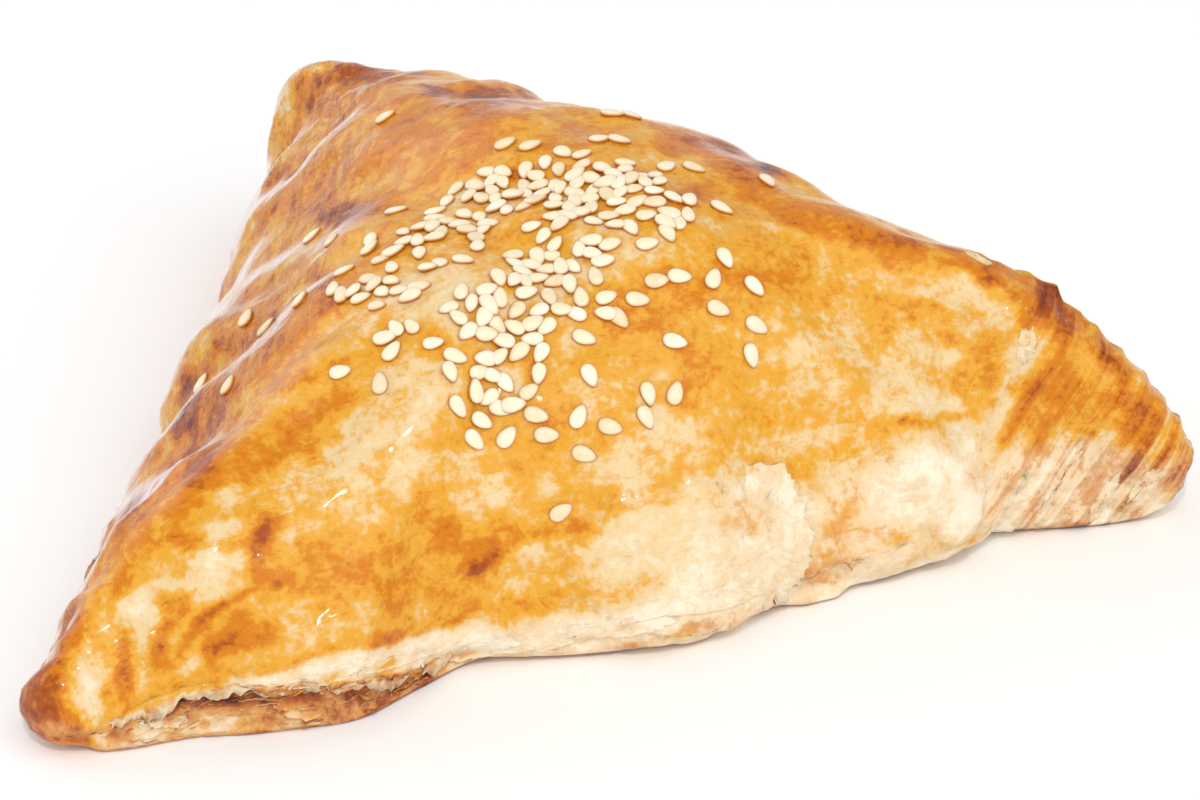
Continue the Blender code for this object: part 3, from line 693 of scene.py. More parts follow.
def wall_points(angles, share):
    """From the ground up to the widest line of the rim."""
    radius = outline_radius(angles)
    rays = np.column_stack((np.cos(angles), np.sin(angles)))
    outline = CROWN + rays * radius[:, None]
    foot = foot_share(outline)
    tuck = around(angles, RIM_TUCK) * (1.0 - foot) + FOOT_TUCK * foot
    rim = rim_height(angles, outline)
    lean = (1.0 - share) * math.pi / 2.0
    height = rim * (1.0 - np.sin(lean))
    reach = radius - tuck * (1.0 - np.cos(lean))
    place = place_along(outline, 0) * side_frames()[0][3]
    lip = rim - LIP_DROP + ragged(place, LIP_RAGGED)
    under = ease((lip - height) / LIP_SHARPNESS + 0.5) * ease(height / LIP_FADE)
    plan = CROWN + rays * (reach - foot * LIP_RECESS * under)[:, None]
    return np.column_stack((plan, height * tip_share(plan)))


def fold_height(plan):
    """The lobe of folded dough on the right shoulder, with a drop on its outer side."""
    x, y, spread, height = FOLD
    away = (plan[:, 0] - x) ** 2 + (plan[:, 1] - y) ** 2
    out = np.hypot(plan[:, 0] - CROWN[0], plan[:, 1] - CROWN[1])
    drop = 1.0 - ease((out - FOLD_EDGE) / FOLD_STEP)
    return height * np.exp(-away / (2.0 * spread * spread)) * drop


def top_points(angles, share):
    """From the widest line of the rim up to the crown."""
    radius = outline_radius(angles)
    rays = np.column_stack((np.cos(angles), np.sin(angles)))
    rim = rim_height(angles, CROWN + rays * radius[:, None])
    rounding = share * ROUND_SHARE
    radius = radius * (1.0 - rounding) + ROUND_RADIUS * rounding
    plan = CROWN + rays * (radius * (1.0 - share))[:, None]
    arch = 1.0 - (1.0 - share) ** around(angles, SLOPE_POWER)
    height = rim + (CROWN_HEIGHT - rim) * arch ** around(angles, CROWN_POWER)
    for x, y, spread, lump in LUMPS:
        away = (plan[:, 0] - x) ** 2 + (plan[:, 1] - y) ** 2
        height = height + lump * np.exp(-away / (2.0 * spread * spread))
    height = (height + fold_height(plan)) * tip_share(plan)
    return np.column_stack((plan, height))


def parcel_points(turns, rises):
    """Points of the parcel for shares around it and shares up it."""
    angles = outline_angles(turns)
    points = np.zeros((len(turns), 3))
    base = rises < BASE_SHARE
    top = rises >= WALL_SHARE
    wall = ~base & ~top
    ground = wall_points(angles[base], np.zeros(int(base.sum())))
    spread = (rises[base] / BASE_SHARE)[:, None]
    points[base, :2] = CROWN + (ground[:, :2] - CROWN) * spread
    points[wall] = wall_points(angles[wall], (rises[wall] - BASE_SHARE) / (WALL_SHARE - BASE_SHARE))
    share = np.clip((rises[top] - WALL_SHARE) / (1.0 - WALL_SHARE), 0.0, 1.0)
    points[top] = top_points(angles[top], share**RING_POWER)
    return points


def ridges(points):
    """Edges of the rolled layers, strongest at the corners."""
    out = from_crown(points)
    angles = np.degrees(bearing(points))
    wander = RIDGE_WANDER * np.sin(np.radians(angles) * 9.0)
    height = np.zeros(len(points))
    for centre, width, inner, full, depth, lean in RIDGE_FANS:
        phase = 2.0 * math.pi * (out + wander - lean * points[:, 2]) / RIDGE_PITCH
        comb = np.sin(phase) + SECOND_RIDGE * np.sin(phase * 1.73 + 0.8)
        turn = (angles - centre + 180.0) % 360.0 - 180.0
        strength = ease((out - inner) / (full - inner)) * bell(turn, 0.0, width)
        height += depth * strength * comb
    return height


def sheets(points):
    """Torn sheets that stand off the crust by their thickness."""
    height = np.zeros(len(points))
    for x, y, length, width, turn, thickness in SHEETS:
        angle = math.radians(turn)
        across = points[:, 0] - x
        along = (points[:, 1] - y) * 0.5 + (points[:, 2] - SHEET_LEVEL) * 0.8
        u = (across * math.cos(angle) + along * math.sin(angle)) / length
        v = (along * math.cos(angle) - across * math.sin(angle)) / width
        edge = 1.0 - np.hypot(u, v) + ragged(across * 1.3 + points[:, 2], SHEET_RAGGED)
        height += thickness * ease(edge / SHEET_EDGE) * (points[:, 1] < CROWN[1])
    return height


def relief(points):
    """How far each point stands off the smooth form."""
    ground = ease((points[:, 2] - RELIEF_FROM) / RELIEF_OVER)
    return (swell(points) + ridges(points) + sheets(points)) * ground


def seed_spots():
    """Plan place, heading, size and lift of each seed; one that lies over another sits higher."""
    draw = random.Random(SEED_DRAW)
    spots = [(x, y, turn, 1.0, SEED_LIFT) for x, y, turn in LONE_SEEDS]
    for x, y, length, width, turn, count in SEED_PATCHES:
        angle = math.radians(turn)
        placed = 0
        for _ in range(count * SEED_TRIES):
            if placed == count:
                break
            u = max(-SEED_REACH, min(SEED_REACH, draw.gauss(0.0, SEED_SCATTER))) * length
            v = max(-SEED_REACH, min(SEED_REACH, draw.gauss(0.0, SEED_SCATTER))) * width
            px = x + u * math.cos(angle) - v * math.sin(angle)
            py = y + u * math.sin(angle) + v * math.cos(angle)
            heading = draw.uniform(0.0, 360.0)
            size = draw.uniform(*SEED_SIZES)
            gap = min(math.hypot(px - spot[0], py - spot[1]) for spot in spots)
            if gap > SEED_SPACING:
                pile = SEED_PILE if gap < SEED_CLEAR else 0.0
                spots.append((px, py, heading, size, SEED_LIFT + pile))
                placed += 1
    return spots


def crust_grid():
    """Turn round the crown and share up the parcel of every vertex, ring by ring from below."""
    base = np.linspace(0.0, BASE_SHARE, BASE_RINGS + 1)[1:-1]
    wall = np.linspace(BASE_SHARE, WALL_SHARE, WALL_RINGS, endpoint=False)
    top = np.linspace(WALL_SHARE, 1.0, TOP_RINGS + 1)[:-1]
    rings = np.concatenate((base, wall, top))
    turns = np.tile(np.arange(CRUST_SEGMENTS) / CRUST_SEGMENTS, len(rings))
    rises = np.repeat(rings, CRUST_SEGMENTS)
    return np.concatenate(((0.0,), turns, (0.0,))), np.concatenate(((0.0,), rises, (1.0,)))


def crust_faces():
    """Faces between the rings, with a fan at the middle of the base and one at the crown."""
    rings = BASE_RINGS - 1 + WALL_RINGS + TOP_RINGS
    here = np.arange(CRUST_SEGMENTS)
    after = (here + 1) % CRUST_SEGMENTS
    faces = [(0, int(1 + b), int(1 + a)) for a, b in zip(here, after)]
    for ring in range(rings - 1):
        low = 1 + ring * CRUST_SEGMENTS
        high = low + CRUST_SEGMENTS
        faces.extend(np.column_stack((low + here, low + after, high + after, high + here)).tolist())
    last = 1 + (rings - 1) * CRUST_SEGMENTS
    crown = last + CRUST_SEGMENTS
    faces.extend([(int(last + a), int(last + b), crown) for a, b in zip(here, after)])
    return faces


def read_vectors(mesh, name):
    values = np.empty(len(mesh.vertices) * 3)
    mesh.vertices.foreach_get(name, values)
    return values.reshape(-1, 3)


def read_normals(mesh):
    values = np.empty(len(mesh.vertices) * 3)
    mesh.vertex_normals.foreach_get("vector", values)
    return values.reshape(-1, 3)


def write_points(mesh, points):
    mesh.vertices.foreach_set("co", (points * MM).ravel())
    mesh.update()


def noise_at(points, size, seed, octaves=3):
    """Fractal noise between about -1 and 1 with features of a size in millimetres."""
    shift = Vector((seed * 17.3, seed * 5.1, seed * 9.7))
    return np.array([noise.fractal(Vector(p) / size + shift, 0.9, 2.0, octaves) for p in points])


def camera_axes():
    """Place and directions of the front camera, in millimetres."""
    turn = math.radians(VIEW_AZIMUTH)
    lift = math.radians(VIEW_ELEVATION)
    back = np.array((
        math.sin(turn) * math.cos(lift), -math.cos(turn) * math.cos(lift), math.sin(lift)
    ))
    right = np.cross(-back, (0.0, 0.0, 1.0))
    right /= np.linalg.norm(right)
    up = np.cross(right, -back)
    return VIEW_AIM + back * VIEW_DISTANCE, right, up, back


def front_view(points, normals):
    """Pixels of points in the front view, and how squarely each point faces it."""
    place, right, up, back = camera_axes()
    away = points - place
    depth = -(away @ back)
    across = VIEW_WIDTH / 2.0 + VIEW_FOCAL * (away @ right) / depth
    down = VIEW_HEIGHT / 2.0 - VIEW_FOCAL * (away @ up) / depth
    sight = -away / np.linalg.norm(away, axis=1)[:, None]
    facing = np.einsum("ij,ij->i", sight, normals)
    return across, down, facing


def blend(values, target, weight):
    return values * (1.0 - weight) + target * weight


def below_lip(points):
    """1 on the bottom crust under the torn lip, 0 elsewhere."""
    out = from_crown(points)
    lip = rim_height(bearing(points), points[:, :2]) - LIP_DROP
    foot = ease((foot_share(points[:, :2]) - 0.7) / 0.3)
    return foot * ease((lip + 0.3 - points[:, 2]) / 0.6) * ease((out - 30.0) / 4.0)


def browning(points, normals, coarse, middle):
    """Browning and glaze of the crust at each point."""
    height = points[:, 2]
    bake = 0.42 + 0.24 * coarse + 0.10 * middle
    glaze = ease((height + 4.0 * coarse + 2.0 * middle - 7.0) / 6.0)
    bake = bake * (0.35 + 0.65 * glaze)
    for x, y, z, radius, brown, shine in FAR_BLOTCHES:
        away = np.sqrt(((points - (x, y, z)) ** 2).sum(axis=1))
        away = away * (1.0 + 0.35 * coarse + 0.2 * middle)
        weight = np.exp(-((away / radius) ** 3))
        bake = blend(bake, brown, weight * 0.9)
        glaze = blend(glaze, shine, weight * 0.9)
    for corner in CORNERS:
        away = np.hypot(points[:, 0] - corner[0], points[:, 1] - corner[1]) + 4.0 * middle
        weight = ease((20.0 - away) / 14.0) * 0.8
        bake = blend(bake, 0.74, weight)
        glaze = blend(glaze, 0.45, weight)
    across, down, facing = front_view(points, normals)
    across = across + 14.0 * coarse + 6.0 * middle
    down = down + 10.0 * np.roll(coarse, 977) + 6.0 * np.roll(middle, 641)
    seen = ease((facing - 0.02) / 0.15)
    bake = blend(bake, 0.42 + 0.08 * coarse, seen * 0.9)
    glaze = blend(glaze, 1.0, seen * 0.9)
    bake = blend(bake, 0.66 + 0.10 * coarse + 0.06 * middle, left_share(points) * 0.85)
    for x, y, half_width, half_height, turn, brown, shine, strength in BLOTCHES:
        angle = math.radians(turn)
        u = ((across - x) * math.cos(angle) + (down - y) * math.sin(angle)) / half_width
        v = ((down - y) * math.cos(angle) - (across - x) * math.sin(angle)) / half_height
        weight = np.exp(-((u * u + v * v) ** 1.5)) * strength * seen
        bake = blend(bake, brown, weight)
        glaze = blend(glaze, shine, weight)
    low = ease((points[:, 0] + 36.0) / 10.0) * ease((3.4 - height) / 1.6) * front_share(points[:, :2])
    bake = blend(bake, 0.24 + 0.5 * middle, low * 0.85)
    glaze = blend(glaze, 0.1, low * 0.85)
    foot = below_lip(points)
    # Painted shade: the bottom crust is made browner towards its top, under the overhang of the lip.
    shade_under_lip = 0.28 * ease((height - 2.6) / 1.8)
    bake = blend(bake, 0.48 - 0.48 * middle + 0.12 * coarse + shade_under_lip, foot)
    glaze = blend(glaze, 0.36, foot)
    under = ease((0.6 - height) / 0.6)
    bake = blend(bake, 0.62 + 0.3 * coarse + 0.15 * middle, under)
    glaze = blend(glaze, 0.15, under)
    return np.clip(bake, 0.0, 1.0), np.clip(glaze, 0.0, 1.0)


def corner_reach(points, centre, width, inner, full):
    """How far points lie into the fan of layers at a corner, from 0 to 1."""
    out = from_crown(points)
    turn = (np.degrees(bearing(points)) - centre + 180.0) % 360.0 - 180.0
    return ease((out - inner) / (full - inner)) * bell(turn, 0.0, width)


def streak_strength(points):
    """Where the rolled layers show as streaks."""
    strength = np.full(len(points), 0.08)
    for centre, width, inner, full, _, _ in RIDGE_FANS:
        shown = 1.0 if centre == STREAKED_CORNER else 0.30
        reach = corner_reach(points, centre, width * 1.2, inner, full)
        strength = np.maximum(strength, reach * shown)
    low = ease((20.0 - points[:, 2]) / 14.0)
    return np.clip(strength * (0.5 + 0.5 * low), 0.0, 1.0)


def layer_place(points):
    """Which rolled layer a point lies in, in millimetres out from the crown."""
    out = from_crown(points)
    centre, width, inner, full, _, lean = RIDGE_FANS[0]
    return out - lean * points[:, 2] * corner_reach(points, centre, width * 1.6, inner - 6.0, full)


def side_depths(points):
    """How far points lie inside each of the three straight sides."""
    return np.array([(points[:, :2] - start) @ inward for start, _, inward, _ in side_frames()])


def grain_place(points):
    """Stretched coordinates for the fine wrinkles, which run along the nearest side."""
    depths = []
    alongs = []
    for start, along, inward, _ in side_frames():
        depths.append((points[:, :2] - start) @ inward)
        alongs.append((points[:, :2] - start) @ along)
    nearest = np.argmin(depths, axis=0)
    rows = np.arange(len(points))
    depth = np.array(depths)[nearest, rows]
    along = np.array(alongs)[nearest, rows]
    return np.column_stack((along * 0.11 + nearest * 40.0, depth * 0.55, points[:, 2] * 0.55))


def left_share(points):
    """1 on the left side, 0 on the other two."""
    depths = side_depths(points)
    others = np.minimum(depths[0], depths[1])
    return ease((others - depths[2]) / 14.0 + 0.3)


def grain_strength(points):
    """The wrinkles are strongest on the left side and fade towards the edges between sides."""
    depths = side_depths(points)
    ordered = np.sort(depths, axis=0)
    clear = ease((ordered[1] - ordered[0] - 2.0) / 12.0)
    left = np.argmin(depths, axis=0) == 2
    return clear * (0.25 + 0.75 * left) * ease((CROWN_HEIGHT - 4.0 - points[:, 2]) / 8.0)


def blisters(points):
    """Small bubbles of the dough under the glaze."""
    draw = random.Random(BLISTER_DRAW)
    height = np.zeros(len(points))
    index = [draw.randrange(len(points)) for _ in range(BLISTER_COUNT)]
    for number in index:
        centre = points[number]
        if centre[2] < BLISTER_FLOOR:
            continue
        radius = draw.uniform(0.5, 2.2)
        rise = draw.uniform(0.12, 0.24) * radius ** 0.5
        near = np.abs(points - centre).max(axis=1) < radius * 2.2
        away = ((points[near] - centre) ** 2).sum(axis=1)
        height[near] += rise * np.exp(-away / (radius * radius * 0.6))
    return height


def fine_relief(points, bake, glaze, streak, coarse, middle, fine):
    """What is smaller than the solid's own facets: layer edges, blisters and crumb."""
    phase = 2.0 * math.pi * (layer_place(points) + 0.9 * middle + 0.6 * coarse) / 1.9
    layers = 0.16 * streak * np.sin(phase) * (1.2 - glaze)
    crumb = (1.0 - glaze) * (0.22 * middle + 0.28 * fine)
    flakes = below_lip(points) * (1.1 * middle + 0.6 * (0.5 - np.abs(fine)))
    ground = ease((points[:, 2] - 0.15) / 1.2)
    return (layers + crumb + flakes + 0.10 * middle + blisters(points)) * ground


def add_attribute(mesh, name, values):
    layer = mesh.attributes.new(name, "FLOAT", "POINT")
    layer.data.foreach_set("value", np.asarray(values, dtype=np.float32))


def make_crust():
    """The parcel with its fine relief and the values that its colours are made from."""
    turns, rises = crust_grid()
    points = parcel_points(turns, rises)
    mesh = bpy.data.meshes.new("crust")
    mesh.from_pydata((points * MM).tolist(), [], crust_faces())
    crust = bpy.data.objects.new("crust", mesh)
    bpy.context.scene.collection.objects.link(crust)
    normals = read_normals(mesh)
    points = points + normals * relief(points)[:, None]
    shift = (points[:, :2].min(axis=0) + points[:, :2].max(axis=0)) / 2.0
    points[:, :2] -= shift
    write_points(mesh, points)
    normals = read_normals(mesh)
    coarse = noise_at(points, 16.0, 1)
    middle = noise_at(points, 4.5, 2)
    fine = noise_at(points, 1.4, 3, 2)
    bake, glaze = browning(points, normals, coarse, middle)
    streak = streak_strength(points)
    points = points + normals * fine_relief(points, bake, glaze, streak, coarse, middle, fine)[:, None]
    write_points(mesh, points)
    add_attribute(mesh, "bake", bake)
    add_attribute(mesh, "glaze", glaze)
    add_attribute(mesh, "streak", streak)
    add_attribute(mesh, "layer", layer_place(points))
    add_attribute(mesh, "turn", np.degrees(bearing(points)) / 20.0)
    add_attribute(mesh, "grainy", grain_strength(points))
    grain = mesh.attributes.new("grain", "FLOAT_VECTOR", "POINT")
    grain.data.foreach_set("vector", grain_place(points).astype(np.float32).ravel())
    mesh.shade_smooth()
    return crust, shift


def front_angles(places):
    """Bearings from the crown of places along the front side."""
    dense = np.radians(np.linspace(-166.0, -18.0, 1500))
    rays = np.column_stack((np.cos(dense), np.sin(dense)))
    along = place_along(CROWN + rays * outline_radius(dense)[:, None], 0)
    order = np.argsort(along)
    return np.interp(places, along[order], dense[order])


def line_noise(values, size, seed):
    """Noise along a line, between about -1 and 1."""
    return np.array([noise.noise((value / size, seed * 7.7, 0.5)) for value in values]) * 2.0


def band(places, profile):
    """A closed band along the front side; the profile gives reach and height at each step."""
    angles = front_angles(places)
    rays = np.column_stack((np.cos(angles), np.sin(angles)))
    radius = outline_radius(angles)
    outline = CROWN + rays * radius[:, None]
    rim = rim_height(angles, outline)
    rows = []
    for reach, height in profile(places * side_frames()[0][3], foot_share(outline), rim):
        plan = CROWN + rays * (radius + reach)[:, None]
        rows.append(np.column_stack((plan, np.maximum(height, 0.05))))
    return rows


def stitch(rows, closed):
    """Points and faces of a grid whose rows follow each other, the last joined to the first."""
    count = len(rows[0])
    points = np.concatenate(rows)
    faces = []
    turns = len(rows) if closed else len(rows) - 1
    for row in range(turns):
        low = row * count
        high = (row + 1) % len(rows) * count
        here = np.arange(count - 1)
        faces.append(np.column_stack((low + here, low + here + 1, high + here + 1, high + here)))
    return points, np.concatenate(faces)


def lip_profile(along, foot, rim):
    """The pale torn edge that hangs over the bottom crust and curls outwards."""
    lip = rim - LIP_DROP + ragged(along, LIP_RAGGED)
    tabs = np.clip(line_noise(along, 5.0, 2) - 0.1, 0.0, 1.0)
    teeth = 0.35 * (1.0 + line_noise(along, 1.7, 1)) + 0.22 * line_noise(along, 0.6, 6)
    hang = foot * (0.75 + teeth + 1.7 * tabs)
    curl = foot * (0.08 + 0.22 * line_noise(along, 2.3, 3) + 0.2 * tabs)
    sink = -3.0 * (1.0 - foot)
    low = lip - hang
    crease = 0.10 * line_noise(along, 0.9, 4) + sink
    return (
        (-2.20 + sink, rim + 0.4),
        (-0.14 + crease, rim - 0.2),
        (-0.02 + 0.4 * curl + crease, (rim + low) / 2.0),
        (0.04 + curl + sink, low),
        (0.04 + curl + sink - LIP_THICKNESS, low + 0.05),
        (-0.14 + 0.3 * curl + sink - LIP_THICKNESS, (rim + low) / 2.0),
        (-0.70 + sink, rim - 0.4),
    )


def wall_reach(tree, shift, angles, heights):
    """How far out from the crown's axis the wall of the crust lies, in millimetres."""
    reach = []
    for angle, height in zip(angles, heights):
        ray = np.array((math.cos(angle), math.sin(angle), 0.0))
        start = np.array((*(CROWN - shift), height)) + ray * 120.0
        spot, _, _, _ = tree.ray_cast(Vector(start * MM), Vector(-ray))
        reach.append(0.0 if spot is None else 120.0 - (Vector(start * MM) - spot).length / MM)
    return np.array(reach)


def ledge(tree, shift, number):
    """One broken layer of the bottom crust, standing out of the wall under the lip."""
    places = np.linspace(FEET[0][0] + 0.005, FEET[0][1] - 0.005, LIP_STEPS)
    angles = front_angles(places)
    rays = np.column_stack((np.cos(angles), np.sin(angles)))
    outline = CROWN + rays * outline_radius(angles)[:, None]
    rim = rim_height(angles, outline)
    foot = foot_share(outline)
    along = places * side_frames()[0][3]
    height = 0.4 + (number + 0.5) / LEDGES * (rim - LIP_DROP - 0.5)
    height = height + 0.8 * line_noise(along, 6.0, 20 + number) + 0.25 * line_noise(along, 1.8, 30 + number)
    height = np.clip(height, 0.3, rim - 0.6)
    torn = 0.2 + 0.7 * line_noise(along, 2.4, 40 + number) + 0.5 * line_noise(along, 0.8, 50 + number)
    layered = 0.35 + 0.65 * bell(places, LAYERED_PLACE, LAYERED_WIDTH)
    out = LEDGE_DEPTH * np.clip(torn, -0.4, 1.3) * layered * foot - 1.5 * (1.0 - foot)
    wall = wall_reach(tree, shift, angles, height)
    curl = 0.5 * line_noise(along, 1.3, 60 + number) * np.clip(out, 0.0, 1.0)
    rows = []
    for reach, rise in (
        (wall - 0.6, height + LEDGE_THICKNESS / 2.0),
        (wall + out - 0.12, height + LEDGE_THICKNESS / 2.0 + curl),
        (wall + out, height + curl),
        (wall + out - 0.12, height - LEDGE_THICKNESS / 2.0 + curl),
        (wall - 0.6, height - LEDGE_THICKNESS / 2.0),
    ):
        plan = CROWN - shift + rays * reach[:, None]
        rows.append(np.column_stack((plan, np.maximum(rise, 0.05))))
    points, quads = stitch(rows, True)
    edge = np.repeat((0.0, 1.0, 1.0, 1.0, 0.0), LIP_STEPS)
    return points, quads, edge


def view_ray(x, y):
    """Start and direction of the line of sight through a pixel of the front view, in metres."""
    place, right, up, back = camera_axes()
    sight = -back + right * (x - 600.0) / VIEW_FOCAL + up * (400.0 - y) / VIEW_FOCAL
    return Vector(place * MM), Vector(sight / np.linalg.norm(sight))


def laid_sheet(tree, number, sheet):
    """A thin torn sheet on the crust: rings out from its middle, its edge lifted and tucked under."""
    x, y, half_width, half_height, turn, side, opening, lift, rough = sheet
    angles = np.linspace(0.0, 2.0 * math.pi, SHEET_SEGMENTS, endpoint=False)
    edge = np.array([
        noise.noise((math.cos(a) * 1.6, math.sin(a) * 1.6, number * 3.1))
        + 0.6 * noise.noise((math.cos(a) * 5.0, math.sin(a) * 5.0, number * 3.1))
        + 0.4 * noise.noise((math.cos(a) * 14.0, math.sin(a) * 14.0, number * 3.1))
        for a in angles
    ])
    off = np.abs((np.degrees(angles) - side + 180.0) % 360.0 - 180.0)
    free = ease((opening - off) / 25.0 + 0.5)
    reach = 1.0 + rough * 1.6 * edge
    tilt = math.radians(turn)
    rows = []
    for step, share in enumerate(SHEET_RINGS):
        across = half_width * reach * share * np.cos(angles)
        down = half_height * reach * share * np.sin(angles)
        px = x + across * math.cos(tilt) - down * math.sin(tilt)
        py = y + across * math.sin(tilt) + down * math.cos(tilt)
        rise = lift * (0.15 + 0.85 * share**3) * free - (0.05 + 0.4 * share**2) * (1.0 - free)
        if step == len(SHEET_RINGS) - 2:
            rise = rise - 0.12
        if step == len(SHEET_RINGS) - 1:
            rise = 0.0 * free - 0.25
        bare = np.clip(free * share**3, 0.0, 1.0)
        rows.append([dropped(tree, *values) for values in zip(px, py, rise, bare)])
    return rows


def dropped(tree, x, y, rise, bare):
    """The point of the crust under a pixel of the front view, raised along its normal."""
    start, sight = view_ray(x, y)
    spot, normal, _, _ = tree.ray_cast(start, sight)
    if spot is None:
        return None
    return (*(np.array(spot) / MM + np.array(normal) * rise), bare)


def sheet_faces(rows, first):
    """Faces between the rings of a sheet where the line of sight met the crust."""
    points = []
    numbers = {}
    for ring, row in enumerate(rows):
        for place, point in enumerate(row):
            if point is not None:
                numbers[ring, place] = first + len(points)
                points.append(point)
    faces = []
    for ring in range(len(rows) - 1):
        for place in range(SHEET_SEGMENTS):
            after = (place + 1) % SHEET_SEGMENTS
            corners = ((ring, place), (ring, after), (ring + 1, after), (ring + 1, place))
            if all(corner in numbers for corner in corners):
                faces.append(tuple(numbers[corner] for corner in reversed(corners)))
    return points, faces


def make_flakes(crust, shift):
    """The lip, the broken layers under it and the torn sheets, joined into one mesh."""
    places = np.linspace(FEET[0][0] - 0.005, FEET[0][1] + 0.005, LIP_STEPS)
    tree = BVHTree.FromObject(crust, bpy.context.evaluated_depsgraph_get())
    strip, quads = stitch(band(places, lip_profile), True)
    strip[:, :2] -= shift
    points = [strip]
    faces = quads.tolist()
    bare = [np.repeat((0.0, 0.1, 0.55, 0.9, 0.6, 0.8, 0.5), LIP_STEPS)]
    brown = [np.zeros(len(strip))]
    total = len(strip)
    for number in range(LEDGES):
        strip, quads, edge = ledge(tree, shift, number)
        faces.extend((quads + total).tolist())
        points.append(strip)
        bare.append(edge * 0.34)
        brown.append(np.ones(len(strip)))
        total += len(strip)
    for number, sheet in enumerate(LAID_SHEETS):
        spots, quads = sheet_faces(laid_sheet(tree, number, sheet), total)
        faces.extend(quads)
        spots = np.array(spots)
        points.append(spots[:, :3])
        whole = 1.0 if sheet[6] >= 180 else 0.0
        bare.append(np.maximum(spots[:, 3] * 0.9, whole * 0.65))
        brown.append(np.zeros(len(spots)))
        total += len(spots)
    points = np.concatenate(points)
    bare = np.concatenate(bare)
    brown = np.concatenate(brown)
    mesh = bpy.data.meshes.new("torn_flakes")
    mesh.from_pydata((points * MM).tolist(), [], faces)
    flakes = bpy.data.objects.new("torn_flakes", mesh)
    bpy.context.scene.collection.objects.link(flakes)
    coarse = noise_at(points, 16.0, 1)
    middle = noise_at(points, 4.5, 2)
    fine = noise_at(points, 1.2, 3, 2)
    towards_view = np.tile(camera_axes()[3], (len(points), 1))
    bake, glaze = browning(points, towards_view, coarse, middle)
    bake = blend(bake, 0.76 + 0.2 * middle, brown)
    bake = blend(bake, 0.12 + 0.20 * fine, bare)
    add_attribute(mesh, "bake", np.clip(bake + 0.12 * fine * brown, 0.0, 1.0))
    add_attribute(mesh, "glaze", np.clip(glaze * (1.0 - bare) * (1.0 - brown) + 0.3 * brown, 0.0, 1.0))
    add_attribute(mesh, "streak", np.full(len(points), 0.1))
    add_attribute(mesh, "layer", layer_place(points))
    add_attribute(mesh, "turn", np.degrees(bearing(points)) / 20.0)
    add_attribute(mesh, "grainy", np.zeros(len(points)))
    mesh.shade_smooth()
    return flakes


def make_seed_template():
    """A plump flat drop with a soft rim."""
    bpy.ops.mesh.primitive_uv_sphere_add(segments=18, ring_count=12, radius=0.5)
    seed = bpy.context.object
    ball = read_vectors(seed.data, "co")
    faces = [tuple(face.vertices) for face in seed.data.polygons]
    bpy.data.objects.remove(seed)
    along = ball[:, 2]
    girth = 1.0 - SEED_TAPER * (along + 0.5)
    girth = girth * (1.0 + SEED_TAPER / 2.0)
    shaped = np.column_stack(
        (along * SEED_LENGTH, ball[:, 0] * SEED_WIDTH * girth, ball[:, 1] * SEED_THICKNESS * girth)
    )
    return shaped, faces


def make_seeds(crust):
    """Every seed on the crust, joined into one mesh."""
    tree = BVHTree.FromObject(crust, bpy.context.evaluated_depsgraph_get())
    shaped, faces = make_seed_template()
    draw = random.Random(5)
    points, polygons, tints, glaze_and_shade_rims = [], [], [], []
    for x, y, heading, size, rise in seed_spots():
        above = Vector((x * MM, y * MM, 0.1))
        spot, normal, _, _ = tree.ray_cast(above, Vector((0.0, 0.0, -1.0)))
        if spot is None:
            continue
        normal = flat_normal(tree, spot)
        forward = Vector((math.cos(math.radians(heading)), math.sin(math.radians(heading)), 0.0))
        side = normal.cross(forward).normalized()
        forward = side.cross(normal)
        turn = np.array((forward, side, normal))
        place = np.array(spot) / MM + np.array(normal) * (rise + draw.uniform(-0.03, 0.06))
        start = len(points) * len(shaped)
        points.append(shaped * size @ turn + place)
        polygons.extend([tuple(v + start for v in face) for face in faces])
        tints.append(np.full(len(shaped), draw.uniform(0.0, 1.0)))
        # Each seed's lower edge is marked for a brown rim: partly the baked glaze that the seed sits in,
        # partly painted shade where it meets the crust.
        glaze_and_shade_rims.append(ease((0.36 - shaped[:, 2]) / 0.32))
    mesh = bpy.data.meshes.new("sesame_seeds")
    mesh.from_pydata((np.concatenate(points) * MM).tolist(), [], polygons)
    add_attribute(mesh, "tint", np.concatenate(tints))
    add_attribute(mesh, "rim", np.concatenate(glaze_and_shade_rims))
    mesh.shade_smooth()
    seeds = bpy.data.objects.new("sesame_seeds", mesh)
    bpy.context.scene.collection.objects.link(seeds)
    return seeds


def flat_normal(tree, spot):
    """The crust's direction, evened out over the size of a seed."""
    total = Vector()
    for dx, dy in ((0, 0), (1.2, 0), (-1.2, 0), (0, 1.2), (0, -1.2)):
        above = Vector((spot.x + dx * MM, spot.y + dy * MM, 0.1))
        hit, normal, _, _ = tree.ray_cast(above, Vector((0.0, 0.0, -1.0)))
        if hit is not None:
            total += normal
    return total.normalized()


